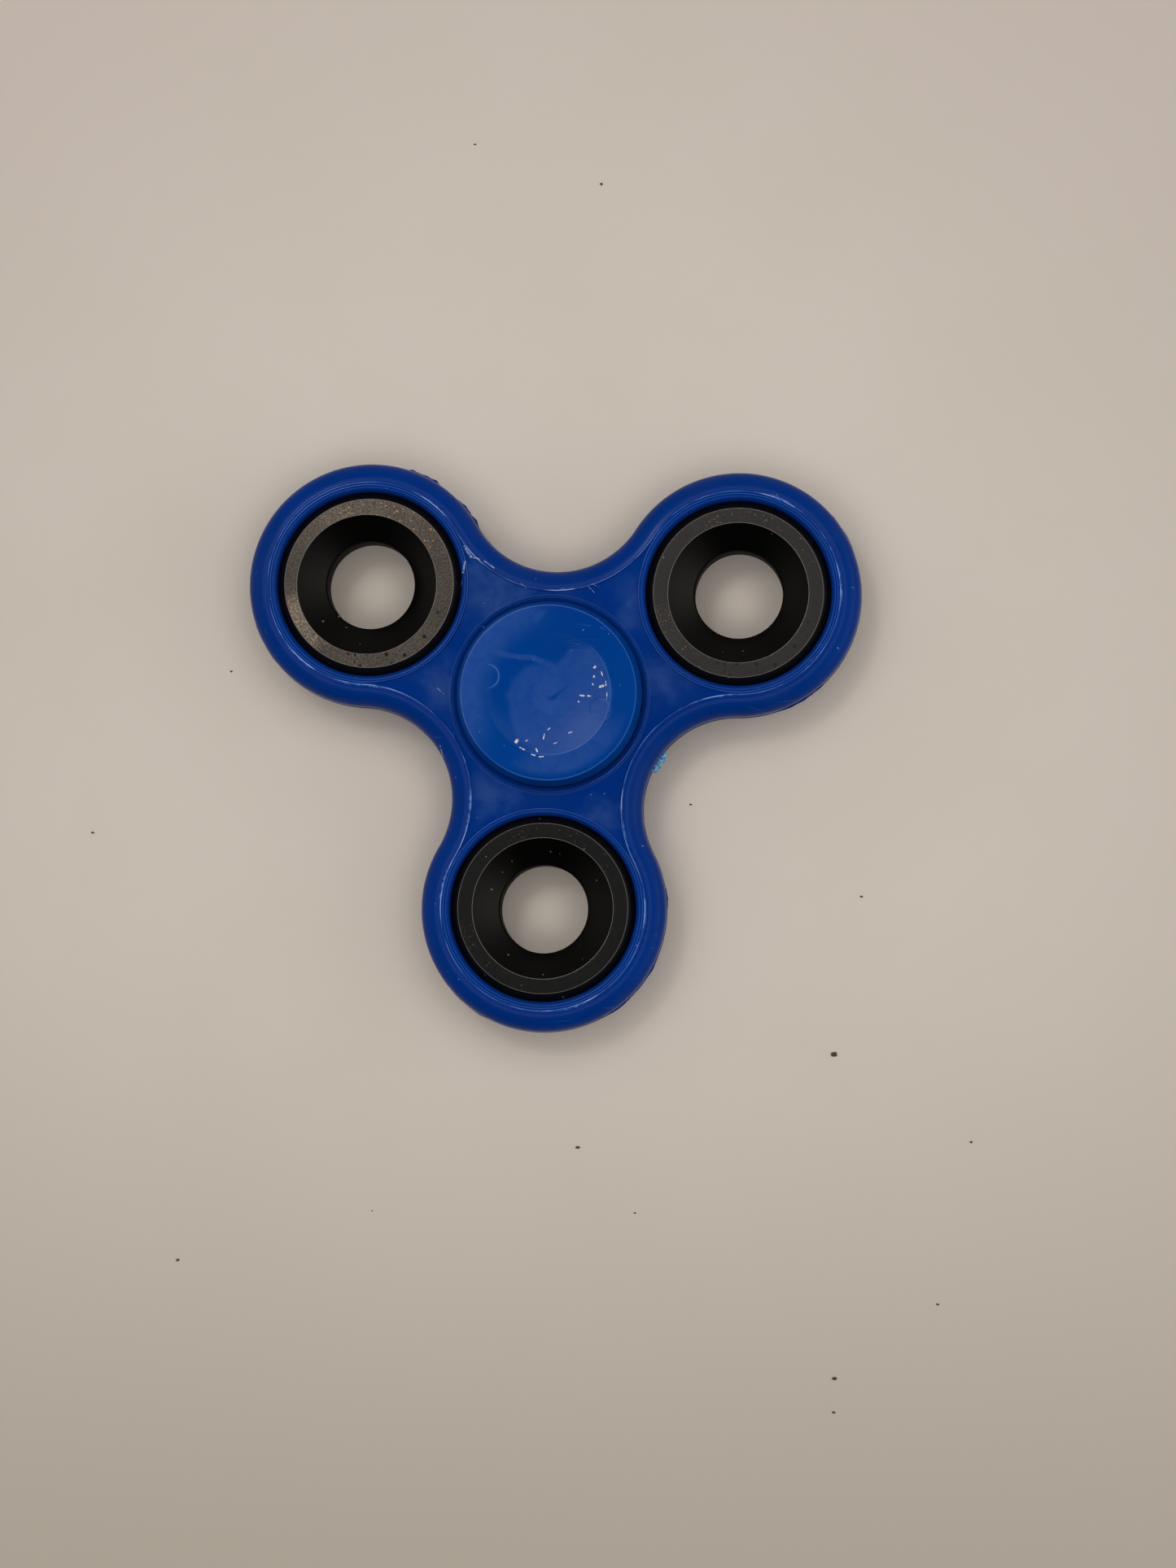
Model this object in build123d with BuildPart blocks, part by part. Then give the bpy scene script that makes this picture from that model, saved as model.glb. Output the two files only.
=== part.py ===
"""Three-lobed hand spinner: a moulded frame on a size 608 ball bearing, with a steel counterweight
ring in each lobe and a dished finger cap on each side.

Millimetres. The origin is the centre of the bearing, on the spin axis, which is Z. Lobe 1 points
along -Y, and the others follow anticlockwise. The spinner lies flat on the rim of its lower cap.
"""

import os
from math import atan2, cos, degrees, hypot, radians, sin

from build123d import *

# ---------------------------------------------------------------- driving dimensions
lobe_count = 3
first_lobe_angle = -90.0

# Ball bearing with two shields
bearing_bore = 8.0
bearing_diameter = 22.0
bearing_width = 7.0
ball_count = 7
ball_diameter = 3.969
raceway_conformity = 0.52  # groove radius over ball diameter
raceway_clearance = 0.02  # radially, between a ball and each raceway
land_gap = 2.9  # radial room between the lands of the two races
race_chamfer = 0.3
cage_sheet = 0.3
cage_width = 1.6
cage_ball_clearance = 0.05
cage_tab_width = 1.2
cage_tab_sheet = 0.2
cage_tab_reach = 0.7  # how far a tab is bent in over the other half
shield_sheet = 0.25
shield_seat_depth = 0.7  # from the bearing's face down to the step that the shield lies on
shield_seat_width = 0.6
shield_flange = 0.9
shield_rise = 0.2  # the shield's middle stands this far above its flange
shield_fit = 0.05  # radial play of the shield in its seat
shield_running_gap = 0.3  # between the shield's hole and the inner race
clip_wire = 0.4
clip_groove_depth = 0.15
clip_opening = 24.0  # degrees between the ends of the snap wire

# Counterweight rings
weight_diameter = 22.0
weight_width = 7.0
weight_hole = 10.5
weight_face_band = 1.85  # radial width of the flat face
weight_countersink_depth = 2.2
weight_chamfer = 0.8
weight_chamfer_depth = 0.6
weight_edge_round = 0.1

# Moulded frame
bore_web = 3.4  # plastic between the bearing's bore and a counterweight's bore
lobe_wall = 3.6
waist_wall = 3.87  # plastic outside the bearing, midway between two lobes
crest_stand = 0.1  # the frame's crest stands this far above the bearing's face
edge_round = 2.5
crest_width = 0.25
web_recess = 0.2
lobe_mouth_round = 0.65
lobe_lip_width = 0.25
centre_mouth_chamfer = 0.55
centre_lip_width = 0.25
gate_length = 3.2  # stub of the moulding gate, broken off at one waist
gate_stand = 0.6
gate_height = 1.2

# Finger caps
cap_running_gap = 0.4
cap_thickness = 2.2
cap_side_height = 0.5  # straight part of the side, below the lean
cap_side_lean = 0.7
cap_rim_width = 0.3
cap_band_width = 2.6
cap_band_drop = 0.2
cap_dish_drop = 0.55
cap_foot_round = 0.25
cap_shoulder_wall = 1.4
cap_post_hole = 4.6
cap_post_chamfer = 0.4
cap_post_gap = 0.4  # between the ends of the two posts, inside the bearing

# ---------------------------------------------------------------- worked-out sizes
bearing_radius = bearing_diameter / 2
bearing_face = bearing_width / 2
bore_radius = bearing_bore / 2
ball_radius = ball_diameter / 2
ball_orbit = (bore_radius + bearing_radius) / 2
inner_land = ball_orbit - land_gap / 2
outer_land = ball_orbit + land_gap / 2
raceway_radius = raceway_conformity * ball_diameter
raceway_shift = raceway_radius - ball_radius - raceway_clearance
cage_inner = ball_orbit - cage_width / 2
cage_outer = ball_orbit + cage_width / 2
pocket_inner = ball_radius + cage_ball_clearance
pocket_outer = pocket_inner + cage_sheet
shield_seat = bearing_face - shield_seat_depth
shield_seat_radius = outer_land + shield_seat_width
shield_radius = shield_seat_radius - shield_fit
clip_base = shield_seat + shield_sheet
clip_middle = clip_base + clip_wire / 2
clip_radius = shield_seat_radius + clip_groove_depth - clip_wire / 2

weight_radius = weight_diameter / 2
weight_face = weight_width / 2
weight_throat = weight_face - weight_countersink_depth
face_outer = weight_radius - weight_chamfer
face_inner = face_outer - weight_face_band

lobe_pitch = bearing_radius + bore_web + weight_radius
lobe_radius = weight_radius + lobe_wall
crest = bearing_face + crest_stand
web = crest - web_recess

cap_underside = max(crest, bearing_face) + cap_running_gap
cap_top = cap_underside + cap_thickness
cap_rim_outer = bearing_radius - cap_side_lean
cap_rim_inner = cap_rim_outer - cap_rim_width
cap_dish_radius = cap_rim_inner - cap_band_width
cap_shoulder = bore_radius + cap_shoulder_wall

# A waist arc passes the spin axis at waist_distance and is tangent to the lobe on each side of it.
half_step = 180 / lobe_count
waist_distance = bearing_radius + waist_wall
waist_offset = waist_distance - lobe_pitch * cos(radians(half_step))
waist_span = lobe_pitch * sin(radians(half_step))
waist_radius = (waist_span**2 + waist_offset**2 - lobe_radius**2) / (2 * (lobe_radius - waist_offset))
waist_centre = waist_distance + waist_radius


def on_circle(radius, angle):
    """Point in the XY plane at a radius and an angle in degrees."""
    return (radius * cos(radians(angle)), radius * sin(radians(angle)))


def axis_distance(edge):
    """Distance of a round edge's centre from the spin axis."""
    return hypot(edge.arc_center.X, edge.arc_center.Y)


def keep(piece, label):
    """Labels a finished piece and writes its STEP file."""
    piece.part.label = label
    export_step(piece.part, f"parts/{label}.step")


os.makedirs("parts", exist_ok=True)
lobe_angles = [first_lobe_angle + 2 * half_step * k for k in range(lobe_count)]
lobe_centres = [on_circle(lobe_pitch, angle) for angle in lobe_angles]

# ---------------------------------------------------------------- moulded frame
# Angle from a lobe's own axis, at its centre, to the point where the waist arc takes over
waist_x, waist_y = on_circle(waist_centre, half_step)
lobe_half_arc = degrees(atan2(waist_y, waist_x - lobe_pitch))
waist_half_arc = lobe_half_arc - half_step

with BuildSketch() as outline:
    with BuildLine():
        for angle in lobe_angles:
            CenterArc(on_circle(lobe_pitch, angle), lobe_radius, angle - lobe_half_arc, 2 * lobe_half_arc)
            CenterArc(
                on_circle(waist_centre, angle + half_step),
                waist_radius,
                angle + half_step + 180 + waist_half_arc,
                -2 * waist_half_arc,
            )
    make_face()

# The flat web lies between the rim, the lip of each counterweight's bore and the lip of the centre.
with BuildSketch() as web_pocket:
    add(outline.sketch)
    offset(amount=-(edge_round + crest_width), mode=Mode.REPLACE)
    with Locations(*lobe_centres):
        Circle(weight_radius + lobe_mouth_round + lobe_lip_width, mode=Mode.SUBTRACT)
    Circle(bearing_radius + centre_mouth_chamfer + centre_lip_width, mode=Mode.SUBTRACT)

with BuildPart() as spinner_frame:
    add(outline.sketch)
    extrude(amount=crest, both=True)
    rims = spinner_frame.edges().filter_by(GeomType.CIRCLE).group_by(Axis.Z)
    fillet(rims[0] + rims[-1], radius=min(edge_round, 0.95 * crest))
    with Locations(*lobe_centres):
        Hole(weight_radius)
    Hole(bearing_radius)
    mouths = spinner_frame.edges().filter_by(GeomType.CIRCLE)
    mouths = mouths.filter_by(lambda e: abs(e.arc_center.Z) > web + web_recess / 2)
    lobe_mouths = mouths.filter_by(lambda e: axis_distance(e) > lobe_pitch / 2 and e.radius < weight_radius + 0.01)
    centre_mouths = mouths.filter_by(lambda e: axis_distance(e) < 0.01 and e.radius < bearing_radius + 0.01)
    fillet(lobe_mouths, radius=lobe_mouth_round)
    chamfer(centre_mouths, length=centre_mouth_chamfer)
    for pocket_base in (web, -crest):
        with BuildSketch(Plane.XY.offset(pocket_base)):
            add(web_pocket.sketch)
        extrude(amount=web_recess, mode=Mode.SUBTRACT)
    gate_angle = first_lobe_angle + half_step
    with Locations(Location((*on_circle(waist_distance, gate_angle), 0), (0, 0, gate_angle))):
        Box(2 * gate_stand, gate_length, gate_height)
keep(spinner_frame, "spinner_frame")

# ---------------------------------------------------------------- counterweight rings
with BuildPart() as ring_blank:
    with BuildSketch(Plane.XZ):
        with BuildLine():
            Polyline(
                (weight_hole / 2, -weight_throat),
                (weight_hole / 2, weight_throat),
                (face_inner, weight_face),
                (face_outer, weight_face),
                (weight_radius, weight_face - weight_chamfer_depth),
                (weight_radius, weight_chamfer_depth - weight_face),
                (face_outer, -weight_face),
                (face_inner, -weight_face),
                close=True,
            )
        make_face()
    revolve(axis=Axis.Z)
    rims = ring_blank.edges().filter_by(GeomType.CIRCLE).group_by(Axis.Z)
    fillet(rims[0] + rims[-1], radius=weight_edge_round)

for number, (x, y) in enumerate(lobe_centres, start=1):
    with BuildPart() as counterweight:
        with Locations((x, y, 0)):
            add(ring_blank.part)
    keep(counterweight, f"counterweight_{number}")

# ---------------------------------------------------------------- bearing races
with BuildPart() as outer_race:
    with BuildSketch(Plane.XZ):
        with BuildLine():
            Polyline(
                (outer_land, -shield_seat),
                (outer_land, shield_seat),
                (shield_seat_radius, shield_seat),
                (shield_seat_radius, bearing_face),
                (bearing_radius - race_chamfer, bearing_face),
                (bearing_radius, bearing_face - race_chamfer),
                (bearing_radius, race_chamfer - bearing_face),
                (bearing_radius - race_chamfer, -bearing_face),
                (shield_seat_radius, -bearing_face),
                (shield_seat_radius, -shield_seat),
                close=True,
            )
        make_face()
        with Locations((ball_orbit - raceway_shift, 0)):
            Circle(raceway_radius, mode=Mode.SUBTRACT)
        with Locations((shield_seat_radius, clip_middle), (shield_seat_radius, -clip_middle)):
            Rectangle(2 * clip_groove_depth, clip_wire, mode=Mode.SUBTRACT)
    revolve(axis=Axis.Z)
keep(outer_race, "bearing_outer_race")

with BuildPart() as inner_race:
    with BuildSketch(Plane.XZ):
        with BuildLine():
            Polyline(
                (bore_radius, race_chamfer - bearing_face),
                (bore_radius, bearing_face - race_chamfer),
                (bore_radius + race_chamfer, bearing_face),
                (inner_land - race_chamfer, bearing_face),
                (inner_land, bearing_face - race_chamfer),
                (inner_land, race_chamfer - bearing_face),
                (inner_land - race_chamfer, -bearing_face),
                (bore_radius + race_chamfer, -bearing_face),
                close=True,
            )
        make_face()
        with Locations((ball_orbit + raceway_shift, 0)):
            Circle(raceway_radius, mode=Mode.SUBTRACT)
    revolve(axis=Axis.Z)
keep(inner_race, "bearing_inner_race")

# ---------------------------------------------------------------- balls
for number in range(1, ball_count + 1):
    x, y = on_circle(ball_orbit, 360 / ball_count * (number - 1))
    with BuildPart() as ball:
        with Locations((x, y, 0)):
            Sphere(ball_radius)
    keep(ball, f"bearing_ball_{number}")

# ---------------------------------------------------------------- cage, pressed in two halves
with BuildPart() as upper_cage:
    with BuildSketch():
        Circle(cage_outer)
        Circle(cage_inner, mode=Mode.SUBTRACT)
    extrude(amount=cage_sheet)
    with PolarLocations(ball_orbit, ball_count):
        Sphere(pocket_outer)
    with PolarLocations(ball_orbit, ball_count):
        Sphere(pocket_inner, mode=Mode.SUBTRACT)
    with BuildSketch():
        Circle(cage_outer)
        Circle(cage_inner, mode=Mode.SUBTRACT)
    extrude(amount=pocket_outer, mode=Mode.INTERSECT)

# The lower half carries tabs, midway between the balls, that pass outside the upper half and are
# bent in over it.
with BuildPart() as lower_cage:
    mirror(upper_cage.part, about=Plane.XY)
    with PolarLocations(cage_outer, ball_count, start_angle=180 / ball_count):
        with Locations((cage_tab_sheet, 0, -cage_sheet)):
            Box(
                2 * cage_tab_sheet,
                cage_tab_width,
                cage_sheet,
                align=(Align.MAX, Align.CENTER, Align.MIN),
            )
        with Locations((cage_tab_sheet, 0, 0)):
            Box(
                cage_tab_sheet,
                cage_tab_width,
                cage_sheet + cage_tab_sheet,
                align=(Align.MAX, Align.CENTER, Align.MIN),
            )
        with Locations((cage_tab_sheet, 0, cage_sheet)):
            Box(
                cage_tab_sheet + cage_tab_reach,
                cage_tab_width,
                cage_tab_sheet,
                align=(Align.MAX, Align.CENTER, Align.MIN),
            )
keep(upper_cage, "bearing_cage_upper")
keep(lower_cage, "bearing_cage_lower")

# ---------------------------------------------------------------- shields and the wires that hold them
with BuildPart() as upper_shield:
    with BuildSketch(Plane.XZ):
        flange_inner = shield_radius - shield_flange
        step_inner = flange_inner - shield_rise
        shield_hole = inner_land + shield_running_gap
        with BuildLine():
            Polyline(
                (shield_radius, shield_seat),
                (shield_radius, shield_seat + shield_sheet),
                (flange_inner, shield_seat + shield_sheet),
                (step_inner, shield_seat + shield_sheet + shield_rise),
                (shield_hole, shield_seat + shield_sheet + shield_rise),
                (shield_hole, shield_seat + shield_rise),
                (step_inner, shield_seat + shield_rise),
                (flange_inner, shield_seat),
                close=True,
            )
        make_face()
    revolve(axis=Axis.Z)

with BuildPart() as upper_clip:
    with BuildSketch(Plane.XZ):
        with Locations((clip_radius, clip_middle)):
            Circle(clip_wire / 2)
    revolve(axis=Axis.Z, revolution_arc=360 - clip_opening)

with BuildPart() as lower_shield:
    mirror(upper_shield.part, about=Plane.XY)

with BuildPart() as lower_clip:
    mirror(upper_clip.part, about=Plane.XY)

keep(upper_shield, "bearing_shield_upper")
keep(lower_shield, "bearing_shield_lower")
keep(upper_clip, "shield_snap_wire_upper")
keep(lower_clip, "shield_snap_wire_lower")

# ---------------------------------------------------------------- finger caps
with BuildPart() as upper_cap:
    with BuildSketch(Plane.XZ):
        band_end = cap_top - cap_band_drop
        with BuildLine():
            Polyline(
                (0, band_end - cap_dish_drop),
                (0, cap_underside),
                (cap_post_hole / 2, cap_underside),
                (cap_post_hole / 2, cap_post_gap / 2),
                (bore_radius - cap_post_chamfer, cap_post_gap / 2),
                (bore_radius, cap_post_gap / 2 + cap_post_chamfer),
                (bore_radius, bearing_face),
                (cap_shoulder, bearing_face),
                (cap_shoulder, cap_underside),
                (bearing_radius, cap_underside),
                (bearing_radius, cap_underside + cap_side_height),
                (cap_rim_outer, cap_top),
                (cap_rim_inner, cap_top),
                (cap_dish_radius, band_end),
            )
            # Dish: a shallow arc, level at the spin axis
            dish_sphere = (cap_dish_radius**2 + cap_dish_drop**2) / (2 * cap_dish_drop)
            RadiusArc((cap_dish_radius, band_end), (0, band_end - cap_dish_drop), dish_sphere)
        make_face()
    revolve(axis=Axis.Z)
    foot = upper_cap.edges().filter_by(GeomType.CIRCLE)
    foot = foot.filter_by(lambda e: e.radius > bearing_radius - 0.01).sort_by(Axis.Z)[0]
    fillet(foot, radius=cap_foot_round)

with BuildPart() as lower_cap:
    mirror(upper_cap.part, about=Plane.XY)

keep(upper_cap, "finger_cap_upper")
keep(lower_cap, "finger_cap_lower")
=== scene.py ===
from math import atan2, cos, degrees, pi, radians, sin, sqrt

import bmesh
import bpy
import numpy as np
from mathutils import Matrix, Vector, noise
from mathutils.geometry import delaunay_2d_cdt


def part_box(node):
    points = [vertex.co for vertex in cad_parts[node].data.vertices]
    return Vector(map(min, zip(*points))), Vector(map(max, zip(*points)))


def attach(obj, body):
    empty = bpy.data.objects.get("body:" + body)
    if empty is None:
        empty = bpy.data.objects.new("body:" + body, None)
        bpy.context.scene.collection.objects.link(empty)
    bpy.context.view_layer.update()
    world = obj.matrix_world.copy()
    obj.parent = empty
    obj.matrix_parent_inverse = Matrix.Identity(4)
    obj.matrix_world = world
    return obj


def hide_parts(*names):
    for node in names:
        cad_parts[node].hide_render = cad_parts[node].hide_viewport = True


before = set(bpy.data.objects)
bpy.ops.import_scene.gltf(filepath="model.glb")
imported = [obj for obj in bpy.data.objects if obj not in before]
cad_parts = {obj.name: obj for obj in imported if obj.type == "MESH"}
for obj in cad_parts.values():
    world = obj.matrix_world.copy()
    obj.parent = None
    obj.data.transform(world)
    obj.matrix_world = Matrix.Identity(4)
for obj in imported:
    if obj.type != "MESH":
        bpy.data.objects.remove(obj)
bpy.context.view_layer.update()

mm = 0.001
print("frame loaded")


# colours are written as sRGB hex and turned to linear here
def colour(hexCode):
    channels = [int(hexCode[i:i + 2], 16) / 255 for i in (1, 3, 5)]
    return (*[c / 12.92 if c <= 0.04045 else ((c + 0.055) / 1.055) ** 2.4 for c in channels], 1.0)


# adds one node; settings are its properties, inputs are numbers, colours or sockets to link
def addNode(tree, kind, settings=None, inputs=None):
    node = tree.nodes.new(kind)
    for name, value in (settings or {}).items():
        setattr(node, name, value)
    for name, value in (inputs or {}).items():
        if isinstance(value, bpy.types.NodeSocket):
            tree.links.new(value, node.inputs[name])
        else:
            node.inputs[name].default_value = value
    return node


# runs numbers or sockets through one arithmetic operation, from left to right
def combine(tree, operation, *values, clamp=False):
    result = values[0]
    for value in values[1:] or (0.0,):
        result = addNode(tree, "ShaderNodeMath", {"operation": operation, "use_clamp": clamp}, {
            0: result, 1: value}).outputs[0]
    return result


# lays colours over a base one after another, each given as how strongly and which
def coat(tree, base, *coats):
    result = colour(base) if isinstance(base, str) else base
    for strength, over in coats:
        over = colour(over) if isinstance(over, str) else over
        result = addNode(tree, "ShaderNodeMix", {"data_type": "RGBA"}, {
            0: strength, 6: result, 7: over}).outputs[2]
    return result


# maps a value from one range to another, clamped, eased at both ends
def ease(tree, value, low, high, toLow=0.0, toHigh=1.0):
    return addNode(tree, "ShaderNodeMapRange", {"interpolation_type": "SMOOTHSTEP"}, {
        "Value": value, "From Min": low, "From Max": high, "To Min": toLow, "To Max": toHigh}).outputs[0]


def newMaterial(name):
    material = bpy.data.materials.new(name)
    material.use_nodes = True
    material.node_tree.nodes.clear()
    return material, material.node_tree


# gives a material its surface, with bumps where a height is given; depth is in metres
def finishMaterial(tree, inputs, height=None, depth=0.0):
    if height is not None:
        bump = addNode(tree, "ShaderNodeBump", inputs={"Height": height, "Distance": depth})
        inputs = {**inputs, "Normal": bump.outputs[0]}
    shader = addNode(tree, "ShaderNodeBsdfPrincipled", inputs=inputs)
    addNode(tree, "ShaderNodeOutputMaterial", inputs={"Surface": shader.outputs[0]})


# position on the piece in its own frame, in millimetres, optionally from another centre
def place(tree, centre=(0, 0, 0)):
    coords = addNode(tree, "ShaderNodeTexCoord")
    shifted = addNode(tree, "ShaderNodeMapping", inputs={
        "Vector": coords.outputs["Object"],
        "Location": [-c / mm for c in centre],
        "Scale": [1 / mm] * 3})
    return shifted.outputs[0]


# the same position with its height left out
def flatten(tree, where):
    return addNode(tree, "ShaderNodeVectorMath", {"operation": "MULTIPLY"}, {
        0: where, 1: (1, 1, 0)}).outputs[0]


# what was painted on a mesh's points, one value for each name
def painted(tree, *names):
    return [addNode(tree, "ShaderNodeAttribute", {"attribute_name": name}).outputs["Fac"] for name in names]


# noise whose features are about size millimetres across
def grain(tree, where, size, detail=2.0, roughness=0.5, distortion=0.0, seed=0.0):
    moved = addNode(tree, "ShaderNodeVectorMath", {"operation": "ADD"}, {
        0: where, 1: (seed, seed * 0.7, seed * 1.3)})
    return addNode(tree, "ShaderNodeTexNoise", inputs={
        "Vector": moved.outputs[0], "Scale": 1 / size, "Detail": detail,
        "Roughness": roughness, "Distortion": distortion}).outputs["Fac"]


# soft round spot of a given radius about a point, 1 in its middle
def spot(tree, where, centre, radius):
    gap = addNode(tree, "ShaderNodeVectorMath", {"operation": "DISTANCE"}, {0: where, 1: centre})
    return ease(tree, gap.outputs["Value"], 0.0, radius, 1.0, 0.0)


# shapes shared by the pieces
def newObject(name, mesh, material, smoothAngle=35):
    piece = bpy.data.objects.new(name, mesh)
    bpy.context.scene.collection.objects.link(piece)
    mesh.materials.clear()
    mesh.materials.append(material)
    mesh.shade_smooth()
    mesh.set_sharp_from_angle(angle=radians(smoothAngle))
    return piece


# turns a closed section of (radius, height) points about the Z axis through a centre
def turned(section, sides, centre=(0, 0), closed=True):
    bm = bmesh.new()
    rings = []
    for radius, height in section:
        if radius < 1e-9:
            rings.append([bm.verts.new((centre[0], centre[1], height))])
            continue
        rings.append([bm.verts.new((centre[0] + radius * cos(a), centre[1] + radius * sin(a), height))
                      for a in np.linspace(0, 2 * pi, sides, endpoint=False)])
    for k in range(len(rings) if closed else len(rings) - 1):
        low, high = rings[k], rings[(k + 1) % len(rings)]
        for i in range(sides):
            j = (i + 1) % sides
            corners = [low[i % len(low)], low[j % len(low)], high[j % len(high)], high[i % len(high)]]
            bm.faces.new(list(dict.fromkeys(corners)))
    bmesh.ops.recalc_face_normals(bm, faces=bm.faces)
    mesh = bpy.data.meshes.new("turned")
    bm.to_mesh(mesh)
    bm.free()
    return mesh


# rounds each corner of a section by its own radius, given as (x, y, radius)
def rounded(corners, steps=4, closed=True):
    points = []
    count = len(corners)
    for k, (x, y, radius) in enumerate(corners):
        here = Vector((x, y))
        if radius <= 0 or (not closed and k in (0, count - 1)):
            points.append((x, y))
            continue
        before = (Vector(corners[k - 1][:2]) - here).normalized()
        after = (Vector(corners[(k + 1) % count][:2]) - here).normalized()
        half = before.angle(after) / 2
        reach = radius / np.tan(half)
        middle = here + (before + after).normalized() * radius / sin(half)
        start, end = here + before * reach - middle, here + after * reach - middle
        turn = start.angle_signed(end)
        for i in range(steps + 1):
            a = -turn * i / steps
            points.append((middle.x + start.x * cos(a) - start.y * sin(a),
                           middle.y + start.x * sin(a) + start.y * cos(a)))
    return points


# sizes read from the frame
weights = ["counterweight_1", "counterweight_2", "counterweight_3"]
weightBoxes = {name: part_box(name) for name in weights}
weightCentres = {name: (low + high) / 2 for name, (low, high) in weightBoxes.items()}
weightRadius = (weightBoxes[weights[0]][1].x - weightBoxes[weights[0]][0].x) / 2
weightFace = weightBoxes[weights[0]][1].z
lobePitch = weightCentres[weights[0]].length
frameLow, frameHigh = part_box("spinner_frame")
lobeRadius = -frameLow.y - lobePitch
crest = frameHigh.z
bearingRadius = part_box("bearing_outer_race")[1].x
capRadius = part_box("finger_cap_upper")[1].x
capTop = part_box("finger_cap_upper")[1].z
unmarked = 9.0  # mm: what a mesh attribute holds where a face has no edge of its kind

# camera: straight down, a little from the lower right, as a phone is held over a table
cameraSpec = {
    "lens": 96.6,
    "sensor": 36.0,
    "place": (0.03492, -0.04336, 0.4995),
    "tilt": (-3.89, -3.34, -1.84),  # degrees about X, Y and Z
}


def makeCamera(spec):
    data = bpy.data.cameras.new("camera")
    data.lens = spec["lens"]
    data.sensor_width = spec["sensor"]
    data.clip_start = 0.01
    camera = bpy.data.objects.new("camera", data)
    bpy.context.scene.collection.objects.link(camera)
    turn = Matrix.Identity(3)
    for angle, axis in zip(spec["tilt"], "XYZ"):
        turn = turn @ Matrix.Rotation(radians(angle), 3, axis)
    camera.matrix_world = Matrix.Translation(spec["place"]) @ turn.transposed().to_4x4()
    bpy.context.scene.camera = camera


makeCamera(cameraSpec)
print("camera placed")

# moulded frame
frameSpec = {
    "waistWall": 3.87 * mm,  # plastic outside the bearing, midway between two lobes
    "stepInset": 2.65 * mm,  # from the silhouette to the foot of the rim's step
    "rimRound": 2.5 * mm,
    "webDrop": 0.2 * mm,  # the flat web lies this far below the crest
    "partingRidge": 0.045 * mm,
    # degrees from a lobe's axis between which the gap between rim and collar opens, and where it lies
    "seamFill": (112, 128),
    "seamBand": (11.74 * mm, 12.12 * mm),
    "seamStand": 0.004 * mm,
    "mouthRound": (0.52 * mm, 1.0 * mm),  # width and depth of the rounding at a lobe's bore
    "collarLip": 0.92 * mm,  # from a lobe's bore to the foot of its collar
    "centreLip": 0.82 * mm,
    "samplesPerLobe": 168,
    "circleSamples": 168,
}


# an open line of (across, up) points as a curve object, for Curve to Mesh
def profileCurve(name, points):
    curve = bpy.data.curves.new(name, "CURVE")
    curve.dimensions = "3D"
    spline = curve.splines.new("POLY")
    spline.points.add(len(points) - 1)
    for point, (x, y) in zip(spline.points, points):
        point.co = (x, y, 0, 1)
    holder = bpy.data.objects.new(name, curve)
    bpy.context.scene.collection.objects.link(holder)
    return holder


# joins an upper half line to its mirror image, so that it runs from the underside to the top
def bothSides(upper):
    return [(x, -y) for x, y in reversed(upper) if y > 1e-9] + upper


def frameProfiles(spec):
    bend = spec["rimRound"]
    rimUp = crest
    webUp = crest - spec["webDrop"]
    rim = [(-spec["partingRidge"], 0), (-spec["partingRidge"], 0.05 * mm), (0.0, 0.11 * mm), (0.0, 0.6 * mm)]
    for a in np.linspace(0, 0.86 * pi / 2, 15):
        rim.append((bend * (1 - cos(a)), rimUp - bend + bend * sin(a)))
    rim += [(2.2 * mm, rimUp - 0.035 * mm), (2.30 * mm, rimUp - 0.03 * mm), (2.38 * mm, rimUp - 0.01 * mm),
            (2.44 * mm, rimUp + 0.02 * mm), (2.50 * mm, rimUp + 0.02 * mm), (2.56 * mm, rimUp - 0.02 * mm),
            (2.60 * mm, webUp + 0.03 * mm), (spec["stepInset"], webUp)]
    lip = spec["collarLip"]
    wide, deep = spec["mouthRound"]
    collar = [(0, 0), (0, 1.2 * mm), (0, rimUp - deep)]
    for a in np.linspace(0.12, pi / 2, 10):
        collar.append((wide * (1 - cos(a)), rimUp - deep + deep * sin(a)))
    collar += [(lip - 0.14 * mm, rimUp + 0.012 * mm), (lip - 0.08 * mm, rimUp),
               (lip - 0.03 * mm, rimUp - 0.05 * mm), (lip - 0.012 * mm, webUp + 0.03 * mm), (lip, webUp)]
    lip = spec["centreLip"]
    centre = [(0, 0), (0, 1.2 * mm), (0, rimUp - 0.38 * mm), (0.03 * mm, rimUp - 0.32 * mm),
              (0.46 * mm, rimUp - 0.04 * mm), (0.54 * mm, rimUp), (lip - 0.1 * mm, rimUp + 0.012 * mm),
              (lip - 0.05 * mm, rimUp - 0.02 * mm), (lip - 0.012 * mm, webUp + 0.03 * mm), (lip, webUp)]
    return {"rim": bothSides(rim), "collar": bothSides(collar), "centre": bothSides(centre)}


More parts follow.
